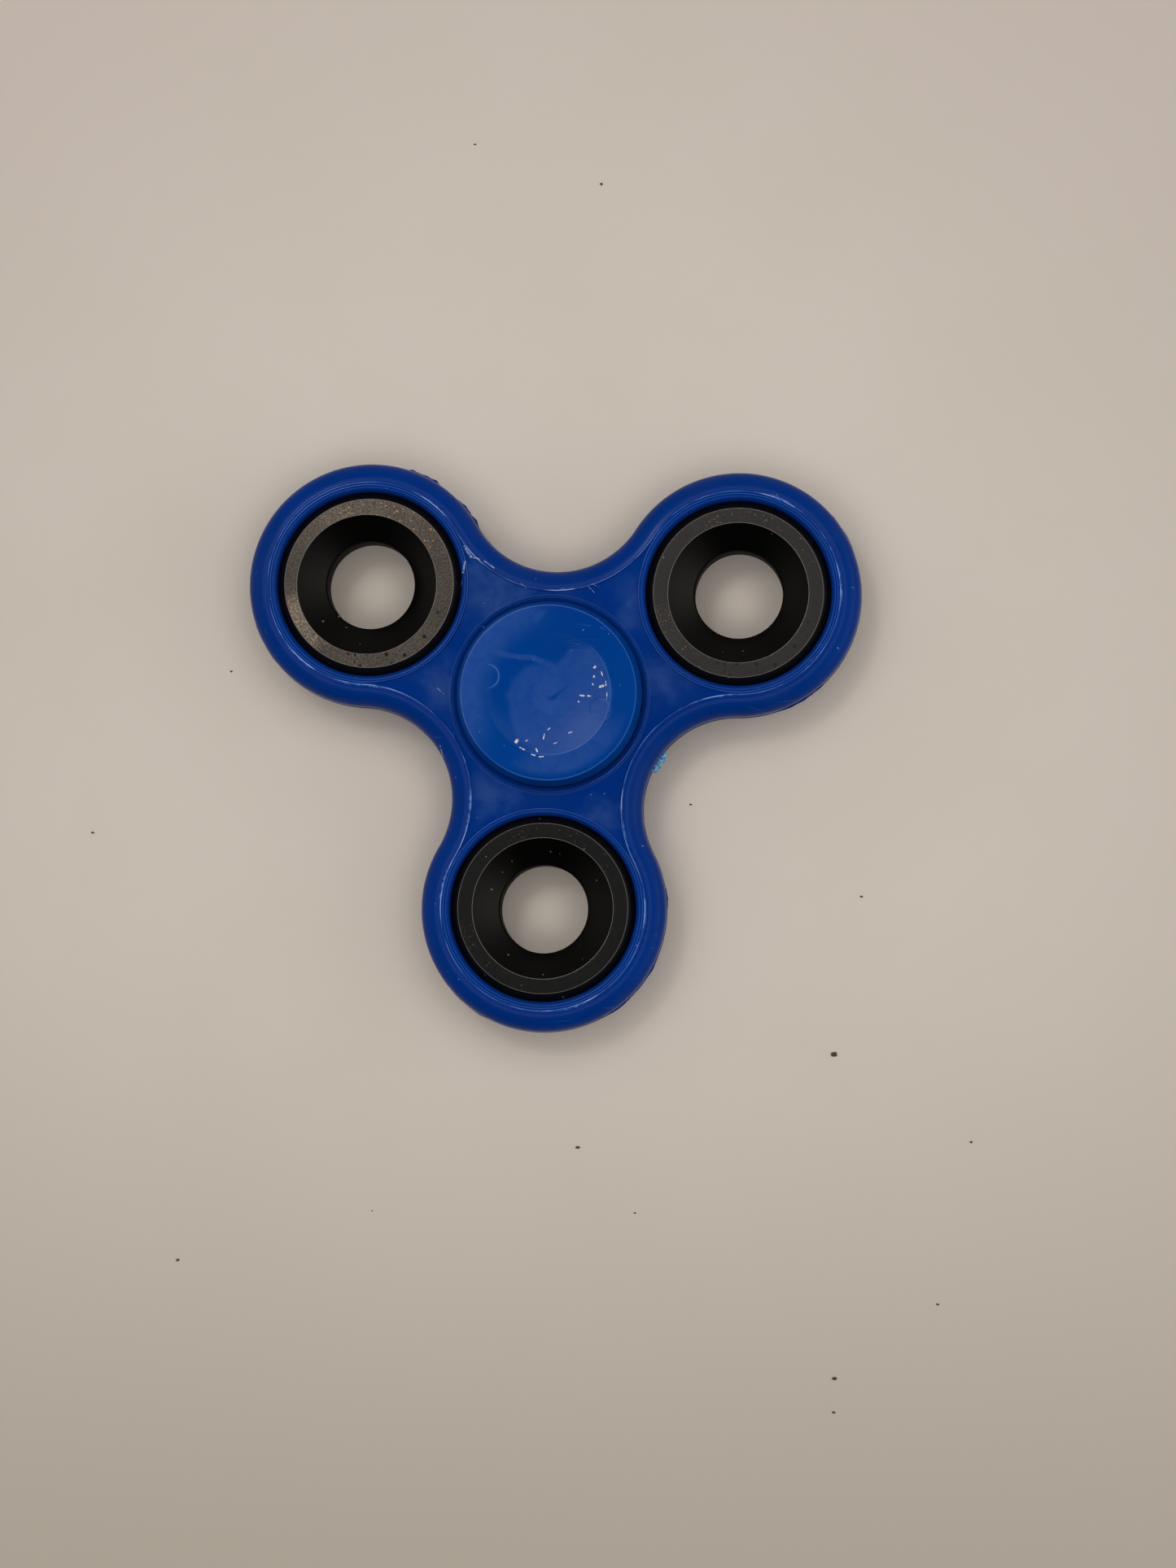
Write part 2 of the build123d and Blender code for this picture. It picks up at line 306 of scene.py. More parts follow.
# Geometry Nodes tree: a lobed outline swept with the rim's profile, mouths swept round the bores,
# and flat webs filled between them on both sides
def lobedShellTree():
    tree = bpy.data.node_groups.new("lobedShell", "GeometryNodeTree")
    interface = tree.interface
    interface.new_socket("Geometry", in_out="OUTPUT", socket_type="NodeSocketGeometry")
    for name in ("Lobe Pitch", "Lobe Radius", "Waist Radius", "Waist Centre", "Lobe Half Arc",
                 "Bearing Radius", "Weight Radius", "Step Inset", "Collar Lip", "Centre Lip", "Web Height"):
        interface.new_socket(name, in_out="INPUT", socket_type="NodeSocketFloat")
    for name in ("Samples Per Lobe", "Circle Samples", "Lobe Count"):
        interface.new_socket(name, in_out="INPUT", socket_type="NodeSocketInt")
    for name in ("Rim Profile", "Collar Profile", "Centre Profile"):
        interface.new_socket(name, in_out="INPUT", socket_type="NodeSocketObject")
    interface.new_socket("Material", in_out="INPUT", socket_type="NodeSocketMaterial")
    given = addNode(tree, "NodeGroupInput").outputs

    # where each sample of the outline goes: round a lobe, then round half of the waist beside it
    index = addNode(tree, "GeometryNodeInputIndex").outputs[0]
    perLobe = given["Samples Per Lobe"]
    third = combine(tree, "FLOOR", combine(tree, "DIVIDE", combine(tree, "ADD", index, 0.5), perLobe))
    within = combine(tree, "SUBTRACT", index, combine(tree, "MULTIPLY", third, perLobe))
    share = combine(tree, "SUBTRACT", combine(tree, "DIVIDE", within, perLobe), 0.5)
    side = combine(tree, "SIGN", share)
    away = combine(tree, "ABSOLUTE", share)
    halfStep = combine(tree, "DIVIDE", pi, given["Lobe Count"])
    waistHalf = combine(tree, "SUBTRACT", given["Lobe Half Arc"], halfStep)
    lobeRun = combine(tree, "MULTIPLY", given["Lobe Radius"], given["Lobe Half Arc"])
    waistRun = combine(tree, "MULTIPLY", given["Waist Radius"], waistHalf)
    lobeShare = combine(tree, "DIVIDE", combine(tree, "MULTIPLY", lobeRun, 0.5),
                        combine(tree, "ADD", lobeRun, waistRun))
    lobeTurn = combine(tree, "MULTIPLY", combine(tree, "DIVIDE", away, lobeShare), given["Lobe Half Arc"])
    waistPart = combine(tree, "DIVIDE", combine(tree, "SUBTRACT", 0.5, away),
                        combine(tree, "SUBTRACT", 0.5, lobeShare))
    waistTurn = combine(tree, "ADD", halfStep, pi, combine(tree, "MULTIPLY", waistPart, waistHalf))

    def circlePoint(centreX, centreY, radius, angle):
        x = combine(tree, "ADD", centreX, combine(tree, "MULTIPLY", radius, combine(tree, "COSINE", angle)))
        y = combine(tree, "ADD", centreY, combine(tree, "MULTIPLY", radius, combine(tree, "SINE", angle)))
        return addNode(tree, "ShaderNodeCombineXYZ", inputs={
            "X": x, "Y": combine(tree, "MULTIPLY", y, side)}).outputs[0]

    onLobe = circlePoint(given["Lobe Pitch"], 0.0, given["Lobe Radius"], lobeTurn)
    waistX = combine(tree, "MULTIPLY", given["Waist Centre"], combine(tree, "COSINE", halfStep))
    waistY = combine(tree, "MULTIPLY", given["Waist Centre"], combine(tree, "SINE", halfStep))
    onWaist = circlePoint(waistX, waistY, given["Waist Radius"], waistTurn)
    chosen = addNode(tree, "GeometryNodeSwitch", {"input_type": "VECTOR"}, {
        "Switch": combine(tree, "LESS_THAN", away, lobeShare), "False": onWaist, "True": onLobe})
    turn = combine(tree, "SUBTRACT", combine(tree, "MULTIPLY", halfStep, 2.0, third), pi / 2)
    placed = addNode(tree, "ShaderNodeVectorRotate", {"rotation_type": "Z_AXIS"}, {
        "Vector": chosen.outputs[0], "Angle": turn})
    total = combine(tree, "MULTIPLY", given["Samples Per Lobe"], given["Lobe Count"])
    ring = addNode(tree, "GeometryNodeCurvePrimitiveCircle", inputs={"Resolution": total, "Radius": 0.03})
    outline = addNode(tree, "GeometryNodeSetPosition", inputs={
        "Geometry": ring.outputs[0], "Position": placed.outputs[0]}).outputs[0]
    outline = addNode(tree, "GeometryNodeSetCurveNormal", {"mode": "Z_UP"}, {"Curve": outline}).outputs[0]
    normal = addNode(tree, "GeometryNodeInputNormal").outputs[0]

    # a sweep of a profile object; the line across the profile is kept as an attribute
    def sweep(path, profile, mark, other):
        line = addNode(tree, "GeometryNodeObjectInfo", inputs={"Object": profile}).outputs["Geometry"]
        across = addNode(tree, "ShaderNodeSeparateXYZ", inputs={
            0: addNode(tree, "GeometryNodeInputPosition").outputs[0]}).outputs["X"]
        scaled = combine(tree, "ABSOLUTE", combine(tree, "DIVIDE", across, mm))
        for name, value in ((mark, scaled), (other, unmarked)):
            line = addNode(tree, "GeometryNodeStoreNamedAttribute", inputs={
                "Geometry": line, "Name": name, "Value": value}).outputs[0]
        return addNode(tree, "GeometryNodeCurveToMesh", inputs={
            "Curve": path, "Profile Curve": line}).outputs[0]

    def circle(radius):
        made = addNode(tree, "GeometryNodeCurvePrimitiveCircle", inputs={
            "Resolution": given["Circle Samples"], "Radius": radius})
        return addNode(tree, "GeometryNodeSetCurveNormal", {"mode": "Z_UP"}, {
            "Curve": made.outputs[0]}).outputs[0]

    # copies at every lobe, made real
    def atLobes(what):
        spokes = addNode(tree, "GeometryNodeMeshCircle", inputs={
            "Vertices": given["Lobe Count"], "Radius": given["Lobe Pitch"]})
        pointed = addNode(tree, "GeometryNodeTransform", inputs={
            "Geometry": spokes.outputs[0], "Rotation": (0, 0, -pi / 2)})
        copies = addNode(tree, "GeometryNodeInstanceOnPoints", inputs={
            "Points": pointed.outputs[0], "Instance": what})
        return addNode(tree, "GeometryNodeRealizeInstances", inputs={
            "Geometry": copies.outputs[0]}).outputs[0]

    rim = sweep(outline, given["Rim Profile"], "inboard", "mouth")
    collars = atLobes(sweep(circle(given["Weight Radius"]), given["Collar Profile"], "mouth", "inboard"))
    centre = sweep(circle(given["Bearing Radius"]), given["Centre Profile"], "mouth", "inboard")

    inset = addNode(tree, "ShaderNodeVectorMath", {"operation": "SCALE"}, {
        0: normal, "Scale": combine(tree, "MULTIPLY", given["Step Inset"], -1.0)})
    inner = addNode(tree, "GeometryNodeSetPosition", inputs={
        "Geometry": outline, "Offset": inset.outputs[0]})
    collarEdge = atLobes(circle(combine(tree, "ADD", given["Weight Radius"], given["Collar Lip"])))
    centreEdge = circle(combine(tree, "ADD", given["Bearing Radius"], given["Centre Lip"]))
    edges = addNode(tree, "GeometryNodeJoinGeometry")
    for part in (inner.outputs[0], collarEdge, centreEdge):
        tree.links.new(part, edges.inputs[0])
    web = addNode(tree, "GeometryNodeFillCurve", inputs={"Curve": edges.outputs[0]}).outputs[0]
    for name in ("inboard", "mouth"):
        web = addNode(tree, "GeometryNodeStoreNamedAttribute", inputs={
            "Geometry": web, "Name": name, "Value": unmarked}).outputs[0]
    upOffset = addNode(tree, "ShaderNodeCombineXYZ", inputs={"Z": given["Web Height"]}).outputs[0]
    downOffset = addNode(tree, "ShaderNodeCombineXYZ", inputs={
        "Z": combine(tree, "MULTIPLY", given["Web Height"], -1.0)}).outputs[0]
    upper = addNode(tree, "GeometryNodeTransform", inputs={"Geometry": web, "Translation": upOffset})
    lower = addNode(tree, "GeometryNodeTransform", inputs={"Geometry": web, "Translation": downOffset})
    lower = addNode(tree, "GeometryNodeFlipFaces", inputs={"Mesh": lower.outputs[0]})

    shell = addNode(tree, "GeometryNodeJoinGeometry")
    for part in (rim, collars, centre, upper.outputs[0], lower.outputs[0]):
        tree.links.new(part, shell.inputs[0])
    welded = addNode(tree, "GeometryNodeMergeByDistance", inputs={
        "Geometry": shell.outputs[0], "Distance": 0.002 * mm})
    real = addNode(tree, "GeometryNodeRealizeInstances", inputs={"Geometry": welded.outputs[0]})
    finished = addNode(tree, "GeometryNodeSetMaterial", inputs={
        "Geometry": real.outputs[0], "Material": given["Material"]})
    addNode(tree, "NodeGroupOutput", inputs={"Geometry": finished.outputs[0]})
    return tree


# runs a tree on an empty object and gives back the plain mesh that it makes
def grow(name, tree, values):
    seed = bpy.data.objects.new(name + "Seed", bpy.data.meshes.new(name + "Seed"))
    bpy.context.scene.collection.objects.link(seed)
    modifier = seed.modifiers.new("nodes", "NODES")
    modifier.node_group = tree
    for item in tree.interface.items_tree:
        if item.in_out == "INPUT":
            modifier[item.identifier] = values[item.name]
    bpy.context.view_layer.update()
    graph = bpy.context.evaluated_depsgraph_get()
    mesh = bpy.data.meshes.new_from_object(
        seed.evaluated_get(graph), preserve_all_data_layers=True, depsgraph=graph)
    bpy.data.objects.remove(seed)
    mesh.name = name
    return mesh


# round the outside of a lobe the rim runs straight into the collar, with no web between them
def fillSeam(bm, spec):
    start, end = spec["seamFill"]
    for vert in bm.verts:
        if abs(vert.co.z) < crest - spec["webDrop"] - 0.01 * mm:
            continue
        for centre in weightCentres.values():
            gap = Vector((vert.co.x - centre.x, vert.co.y - centre.y))
            if not spec["seamBand"][0] < gap.length < spec["seamBand"][1]:
                continue
            off = degrees(gap.angle(Vector((centre.x, centre.y))))
            share = min(1, max(0, (end - off) / (end - start)))
            filled = crest + spec["seamStand"]
            if filled > abs(vert.co.z):
                lift = share * share * (3 - 2 * share) * (filled - abs(vert.co.z))
                vert.co.z += lift if vert.co.z > 0 else -lift


def makeFrame(spec, material):
    waistDistance = bearingRadius + spec["waistWall"]
    waistOffset = waistDistance - lobePitch * cos(pi / 3)
    waistSpan = lobePitch * sin(pi / 3)
    waistRadius = (waistSpan**2 + waistOffset**2 - lobeRadius**2) / (2 * (lobeRadius - waistOffset))
    waistCentre = waistDistance + waistRadius
    halfArc = atan2(waistCentre * sin(pi / 3), waistCentre * cos(pi / 3) - lobePitch)
    lines = frameProfiles(spec)
    # the sweep's own X axis points outwards, so the rim's line is turned to run inwards
    lines["rim"] = [(-x, y) for x, y in lines["rim"]]
    holders = {name: profileCurve(name + "Profile", points) for name, points in lines.items()}
    mesh = grow("spinnerFrame", lobedShellTree(), {
        "Lobe Pitch": lobePitch, "Lobe Radius": lobeRadius, "Waist Radius": waistRadius,
        "Waist Centre": waistCentre, "Lobe Half Arc": halfArc, "Bearing Radius": bearingRadius,
        "Weight Radius": weightRadius, "Step Inset": spec["stepInset"], "Collar Lip": spec["collarLip"],
        "Centre Lip": spec["centreLip"], "Web Height": crest - spec["webDrop"],
        "Samples Per Lobe": spec["samplesPerLobe"], "Circle Samples": spec["circleSamples"], "Lobe Count": 3,
        "Rim Profile": holders["rim"], "Collar Profile": holders["collar"],
        "Centre Profile": holders["centre"], "Material": material})
    for holder in holders.values():
        bpy.data.objects.remove(holder)
    bm = bmesh.new()
    bm.from_mesh(mesh)
    fillSeam(bm, spec)
    bmesh.ops.recalc_face_normals(bm, faces=bm.faces)
    openEdges = sum(1 for edge in bm.edges if not edge.is_manifold)
    bm.to_mesh(mesh)
    bm.free()
    print("frame shell:", len(mesh.vertices), "vertices,", openEdges, "open edges")
    return newObject("spinnerFrame", mesh, material, 28)


# finger caps
capSpec = {
    "rimOuter": 10.42 * mm,
    "rimInner": 10.12 * mm,
    "dishRadius": 7.4 * mm,
    "thickness": 2.2 * mm,
    "sideHeight": 0.5 * mm,  # straight part of the side, below the lean
    "collar": 5.4 * mm,  # radius of the step that stands on the inner race, then of the post in its bore
    "post": 4.0 * mm,
    "postTip": 3.6 * mm,
    "postChamfer": 0.4 * mm,
    "postHole": 2.3 * mm,
    "holeRise": 0.3 * mm,  # the post's hole ends this far short of the foot
    "bandDrop": 0.07 * mm,
    "dishDrop": 0.55 * mm,
    "gridStep": 0.17 * mm,
    "sides": 192,
    "pins": [(-7.30, 1.75, 1.40), (6.25, -1.75, 1.28)],  # mm: marks of the mould's ejector pins
    "pinGroove": 0.035 * mm,
    "pinSink": 0.012 * mm,
    "pinClear": 0.2,  # mm: the web of triangles is made anew this close to a pin mark, in rings
    "pinRings": (-0.14, -0.09, -0.05, 0, 0.05, 0.09, 0.14),
    "pinSides": 110,
    "waves": 0.012 * mm,
    # outlines in mm of a thumb's greasy smears on the dish, drawn with a painted sheen
    "haze": 0.95,
    "smear": [(0.0, 3.4), (2.3, 4.9), (4.8, 5.7), (6.5, 3.7), (7.3, 0.4), (7.0, -3.0), (4.9, -6.0),
              (2.0, -7.3), (-0.7, -7.3), (-3.3, -5.7), (-4.5, -2.6), (-4.8, -0.6), (-4.0, 1.4), (-2.7, 2.7)],
    "heart": [(-1.9, 0.6), (-0.6, 2.1), (0.5, 2.6), (1.6, 1.6), (1.9, 0.2), (1.5, -1.4), (0.2, -2.7),
              (-1.2, -2.2), (-2.0, -0.8)],
    "wiped": [(-0.35, -0.75), (0.4, -0.15), (1.3, 0.35), (2.1, 0.95), (1.5, -0.1), (0.8, -0.7)],
    "streak": [(-6.4, 4.5), (-3.7, 4.3), (-1.8, 4.0), (0.0, 3.3), (1.0, 2.2), (0.7, 0.8)],
    "streakWidths": [0.42, 0.50, 0.50, 0.65, 0.85],
    "thumb": [(-2.1, 8.3), (-1.9, 9.4), (-1.0, 9.8), (-0.4, 9.5), (-0.7, 8.6), (-1.5, 7.9)],
}


# height of the cap's top at a radius, without its marks
def dishHeight(radius, spec):
    band = capTop - spec["bandDrop"] * np.clip(
        (spec["rimInner"] - radius) / (spec["rimInner"] - spec["dishRadius"]), 0, 1)
    ball = (spec["dishRadius"] ** 2 + spec["dishDrop"] ** 2) / (2 * spec["dishDrop"])
    dish = ball - np.sqrt(ball**2 - np.minimum(radius, spec["dishRadius"]) ** 2)
    fullDrop = ball - sqrt(ball**2 - spec["dishRadius"] ** 2)
    return band - (fullDrop - dish)


def makeCap(name, spec, material, side):
    rng = np.random.default_rng(11)
    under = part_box("finger_cap_upper")[0].z  # end of the post
    foot = capTop - spec["thickness"]
    face = weightFace  # the bearing's face lies level with the rings'
    collar, post, hole = spec["collar"], spec["post"], spec["postHole"]
    holeEnd = foot - spec["holeRise"]
    section = rounded([
        (spec["rimInner"], capTop, 0), (spec["rimOuter"], capTop, 0.09 * mm),
        (capRadius, foot + spec["sideHeight"], 0.3 * mm), (capRadius, foot, 0.25 * mm),
        (collar, foot, 0.1 * mm), (collar, face, 0.08 * mm), (post, face, 0),
        (post, under + spec["postChamfer"], 0.1 * mm), (spec["postTip"], under, 0.1 * mm),
        (hole, under, 0.1 * mm), (hole, holeEnd, 0.2 * mm), (0, holeEnd, 0)], 5, closed=False)
    mesh = turned(section, spec["sides"], closed=False)
    bm = bmesh.new()
    bm.from_mesh(mesh)

    # the top is a fine web of triangles, closer together round the pin marks
    points = [(0.0, 0.0)]
    count = int(spec["rimInner"] / spec["gridStep"])
    for k in range(1, count + 1):
        radius = spec["rimInner"] * k / count
        steps = spec["sides"] if k == count else max(8, int(2 * pi * radius / spec["gridStep"]))
        shift = 0 if k == count else rng.uniform(0, 2 * pi)
        for i in range(steps):
            a = shift + 2 * pi * i / steps
            points.append((radius * cos(a), radius * sin(a)))
    points = np.array(points)
    extra = []
    for x, y, radius in spec["pins"]:
        gap = np.hypot(points[:, 0] / mm - x, points[:, 1] / mm - y)
        onRim = np.hypot(points[:, 0], points[:, 1]) > spec["rimInner"] - 1e-7
        points = points[(abs(gap - radius) > spec["pinClear"]) | onRim]
        a = np.linspace(0, 2 * pi, spec["pinSides"], endpoint=False)
        for ring in radius + np.array(spec["pinRings"]):
            extra.append(np.stack([x + ring * np.cos(a), y + ring * np.sin(a)], 1) * mm)
    extra = np.concatenate(extra)
    extra = extra[np.hypot(extra[:, 0], extra[:, 1]) < spec["rimInner"] - 0.1 * mm]
    points = np.concatenate([points, extra])
    made = delaunay_2d_cdt([Vector(p / mm) for p in points], [], [], 0, 1e-7)
    flat = np.array([v[:] for v in made[0]]) * mm
    radius = np.hypot(flat[:, 0], flat[:, 1])
    height = dishHeight(radius, spec)
    for x, y, pinRadius in spec["pins"]:
        gap = np.hypot(flat[:, 0] / mm - x, flat[:, 1] / mm - y) - pinRadius
        angle = np.arctan2(flat[:, 1] / mm - y, flat[:, 0] / mm - x)
        depth = spec["pinGroove"] * (0.55 + 0.45 * np.cos(angle))
        height -= depth * np.exp(-((gap / 0.06) ** 2))
        height -= spec["pinSink"] * (gap < 0) * np.clip(-gap / 0.1, 0, 1)
    waves = np.array([noise.noise((x * 260, y * 260, 3.1)) for x, y in flat])
    height += spec["waves"] * waves * np.clip((spec["rimInner"] - radius) / mm, 0, 1)
    top = [bm.verts.new((x, y, z)) for (x, y), z in zip(flat, height)]
    for corners in made[2]:
        bm.faces.new([top[i] for i in corners])
    bmesh.ops.remove_doubles(bm, verts=bm.verts, dist=0.002 * mm)
    if side < 0:
        bmesh.ops.transform(bm, matrix=Matrix.Rotation(pi, 4, "X"), verts=bm.verts)
    bmesh.ops.recalc_face_normals(bm, faces=bm.faces)
    openEdges = sum(1 for edge in bm.edges if not edge.is_manifold)
    bm.to_mesh(mesh)
    bm.free()
    paintHaze(mesh, spec, side)
    print(name, len(mesh.vertices), "vertices,", openEdges, "open edges")
    return newObject(name, mesh, material, 30)


# 1 well inside a closed outline, 0 well outside it, eased over blur; points and outline in mm
def insideOutline(x, y, outline, blur):
    inside = np.zeros(len(x), bool)
    gap = np.full(len(x), 1e9)
    for (ax, ay), (bx, by) in zip(outline, outline[1:] + outline[:1]):
        crossed = (ay > y) != (by > y)
        inside ^= crossed & (x < ax + (y - ay) * (bx - ax) / (by - ay if by != ay else 1e-9))
        gap = np.minimum(gap, strokeGap(x, y, (ax, ay), (bx, by)))
    signed = np.where(inside, gap, -gap)
    return smooth(signed, -blur, blur)


def strokeGap(x, y, start, end):
    runX, runY = end[0] - start[0], end[1] - start[1]
    t = np.clip(((x - start[0]) * runX + (y - start[1]) * runY) / (runX**2 + runY**2), 0, 1)
    return np.hypot(x - start[0] - t * runX, y - start[1] - t * runY)


def smooth(value, low, high):
    t = np.clip((value - low) / (high - low), 0, 1)
    return t * t * (3 - 2 * t)


# where a thumb has left its swirl of grease in the dish, drawn with a painted sheen and a painted reflection
# at the lower right, and where the pins' marks are painted lit on one side and shaded on the other
def paintHaze(mesh, spec, side):
    co = np.zeros(len(mesh.vertices) * 3)
    mesh.vertices.foreach_get("co", co)
    x, y, z = co.reshape(-1, 3).T / mm
    y = y * side
    radius = np.hypot(x, y)
    sway = np.array([noise.noise((a * 0.55, b * 0.55, 7.7)) for a, b in zip(x, y)]) * 0.5
    sx, sy = x + sway, y - sway
    body = insideOutline(sx, sy, spec["smear"], 0.5) * 0.72
    body *= 1 - 0.85 * insideOutline(sx, sy, spec["wiped"], 0.16)
    heart = insideOutline(sx, sy, spec["heart"], 0.25) * 0.95
    heart *= 1 - 0.9 * insideOutline(sx, sy, spec["wiped"], 0.16)
    # a painted reflection of the lamp at the lower right runs on past the dish, thinner, and dies out before
    # the rim
    spill = 1 - smooth(radius, 7.2, 7.45) * (1 - 0.75 * smooth(-y, 1.5, 5))
    lower = 0.95 * smooth(x * 0.75 - y * 0.66, 1.5, 5.5) * spill * (1 - smooth(radius, 9.2, 10.1))
    streak = 0.0
    for (start, end), width in zip(zip(spec["streak"], spec["streak"][1:]), spec["streakWidths"]):
        streak = np.maximum(streak, 1 - smooth(strokeGap(sx, sy, start, end), 0.55 * width, width))
    thumb = 0.75 * insideOutline(sx, sy, spec["thumb"], 0.3)
    shoulder = smooth(radius, 6.0, 9.2) * smooth(-x * 0.92 + y * 0.40, 2.5, 8.0) * 0.95
    haze = np.clip(np.maximum.reduce([body, heart, lower, 0.8 * streak, thumb, shoulder]), 0, 1)
    haze *= spec["haze"] * (z * side > capTop / mm - 1.2)
    light, dark = np.zeros(len(x)), np.zeros(len(x))
    # painted highlight on one side of a pin's groove, and painted shade on the other
    for number, (px, py, pinRadius) in enumerate(spec["pins"]):
        gap = np.hypot(x - px, y - py) - pinRadius
        angle = np.arctan2(y - py, x - px)
        ring = np.exp(-((gap / 0.08) ** 2))
        if number == 0:
            light = np.maximum(light, ring * smooth(np.cos(angle - 0.1), -0.1, 0.7))
        else:
            dark = np.maximum(dark, ring * smooth(np.cos(angle - 2.9), -0.5, 0.5))
            inner = 0.6 * np.exp(-(((gap + 0.2) / 0.08) ** 2))
            light = np.maximum(light, inner * smooth(np.cos(angle - 0.6), 0.2, 0.9))
    for name, values in (("haze", haze), ("pinLight", light), ("pinDark", dark)):
        layer = mesh.attributes.new(name, "FLOAT", "POINT")
        layer.data.foreach_set("value", values.astype(np.float32))


# counterweight rings
ringSpec = {
    "holeRadius": 5.25 * mm,
    "throat": 1.3 * mm,
    "throatLow": 2.6 * mm,  # the hole's straight wall runs deeper than it does high
    # how far a cone was cut off its ring's axis
    "offCentre": {"counterweight_3": (-0.28 * mm, -0.14 * mm)},
    "faceInner": 8.35 * mm,
    "faceOuter": 10.12 * mm,
    "seatTop": 2.0 * mm,
    "chamferFoot": 2.45 * mm,
    "fitGap": 0.05 * mm,  # seen between the ring's edge and its bore, above where it is pressed home
    "sides": 192,
}


def makeRing(name, node, spec, material, centre):
    outer = weightRadius - spec["fitGap"]
    upper = [
        (weightRadius, 0, 0), (weightRadius, spec["seatTop"], 0), (outer, spec["seatTop"] + 0.1 * mm, 0),
        (outer, spec["chamferFoot"], 0.08 * mm), (spec["faceOuter"], weightFace, 0.10 * mm),
        (spec["faceInner"], weightFace, 0.10 * mm), (spec["holeRadius"], spec["throat"], 0.15 * mm)]
    lower = [(x, -y, r) for x, y, r in reversed(upper[1:])]
    lower[0] = (spec["holeRadius"], -spec["throatLow"], 0.15 * mm)
    mesh = turned(rounded(upper + lower, 4), spec["sides"], centre)
    reach = []
    shiftX, shiftY = spec["offCentre"].get(node, (0, 0))
    for vert in mesh.vertices:
        radius = sqrt((vert.co.x - centre[0])**2 + (vert.co.y - centre[1])**2)
        reach.append(radius / mm)
        if radius < (spec["faceInner"] + spec["faceOuter"]) / 2 and vert.co.z > spec["throat"]:
            share = (vert.co.z - spec["throat"]) / (weightFace - spec["throat"])
            vert.co.x += shiftX * share
            vert.co.y += shiftY * share
    layer = mesh.attributes.new("reach", "FLOAT", "POINT")
    layer.data.foreach_set("value", reach)
    return newObject(name, mesh, material, 30)


# what the moulding left on the frame: the gate's torn stub and thin flash at the parting line
leftoverSpec = {
    "gateAngle": -29.7,  # degrees, round the spin axis
    "gateLength": 2.8 * mm,
    "gateStand": 0.42 * mm,
    "gateHeight": 1.1 * mm,
    # lobe, first and last angle round it in degrees, widest reach in mm
    "flash": [("counterweight_3", 30, 47, 0.30), ("counterweight_3", 57, 76, 0.36),
              ("counterweight_3", 196, 222, 0.12), ("counterweight_2", -70, -44, 0.16),
              ("counterweight_2", 20, 50, 0.10), ("counterweight_1", -62, -20, 0.14),
              ("counterweight_1", 212, 246, 0.10), ("counterweight_1", 2, 12, 0.16)],
}


def makeGateStub(spec, material):
    bm = bmesh.new()
    bmesh.ops.create_icosphere(bm, subdivisions=6, radius=1.0)
    angle = radians(spec["gateAngle"])
    out, along = Vector((cos(angle), sin(angle), 0)), Vector((-sin(angle), cos(angle), 0))
    middle = out * (bearingRadius + frameSpec["waistWall"])
    for vert in bm.verts:
        d = vert.co.normalized()
        blocky = Vector([abs(c) ** 0.55 * (1 if c > 0 else -1) for c in d])
        torn = noise.fractal(d * 2.6 + Vector((4.1, 0, 0)), 0.8, 2.1, 4) * 0.36
        ragged = noise.noise(Vector((blocky.y * 3.2, blocky.z * 2.5, 2.7))) * 0.9 \
            + noise.noise(Vector((blocky.y * 11.0, blocky.z * 7.0, 5.1))) * 0.5
        reach = blocky.x * spec["gateStand"] * (1.0 + (torn + ragged if d.x > 0 else 0))
        vert.co = (middle + out * reach + along * blocky.y * spec["gateLength"] / 2 * (1 + 0.25 * torn)
                   + Vector((0, 0, blocky.z * spec["gateHeight"] / 2 * (1 + 0.3 * torn))))
    bmesh.ops.recalc_face_normals(bm, faces=bm.faces)
    mesh = bpy.data.meshes.new("gateStub")
    bm.to_mesh(mesh)
    bm.free()
    return newObject("gateStub", mesh, material, 40)


def makeFlash(number, lobe, first, last, reach, material):
    centre = weightCentres[lobe]
    bm = bmesh.new()
    steps = max(24, int(abs(last - first) * 4))
    rows = []
    for k in range(steps + 1):
        t = k / steps
        angle = radians(first + (last - first) * t)
        ragged = 0.55 + 0.6 * noise.noise(Vector((t * 6 + number * 7, 0.3, 1.7))) \
            + 0.10 * noise.noise(Vector((t * 22, number, 0)))
        width = reach * mm * max(0.02, ragged) * min(1, 6 * t, 6 * (1 - t))
        out = Vector((cos(angle), sin(angle), 0))
        inner, edge = lobeRadius - 0.2 * mm, lobeRadius + frameSpec["partingRidge"] + width
        lift = 0.02 * mm * noise.noise(Vector((t * 14, 5.0, number)))
        rows.append([bm.verts.new(Vector((centre.x, centre.y, up)) + out * radius) for radius, up in (
            (inner, 0.07 * mm), (edge - 0.3 * width, 0.035 * mm + lift), (edge, 0.01 * mm + lift),
            (edge, -0.01 * mm + lift), (edge - 0.3 * width, -0.03 * mm + lift), (inner, -0.07 * mm))])
    for a, b in zip(rows, rows[1:]):
        for i in range(6):
            bm.faces.new([a[i], a[(i + 1) % 6], b[(i + 1) % 6], b[i]])
    bm.faces.new(rows[0])
    bm.faces.new(rows[-1][::-1])
    bmesh.ops.recalc_face_normals(bm, faces=bm.faces)
    mesh = bpy.data.meshes.new("mouldFlash")
    bm.to_mesh(mesh)
    bm.free()
    for name in ("inboard", "mouth"):
        layer = mesh.attributes.new(name, "FLOAT", "POINT")
        layer.data.foreach_set("value", [unmarked] * len(mesh.vertices))
    return newObject(f"mouldFlash{number}", mesh, material, 40)


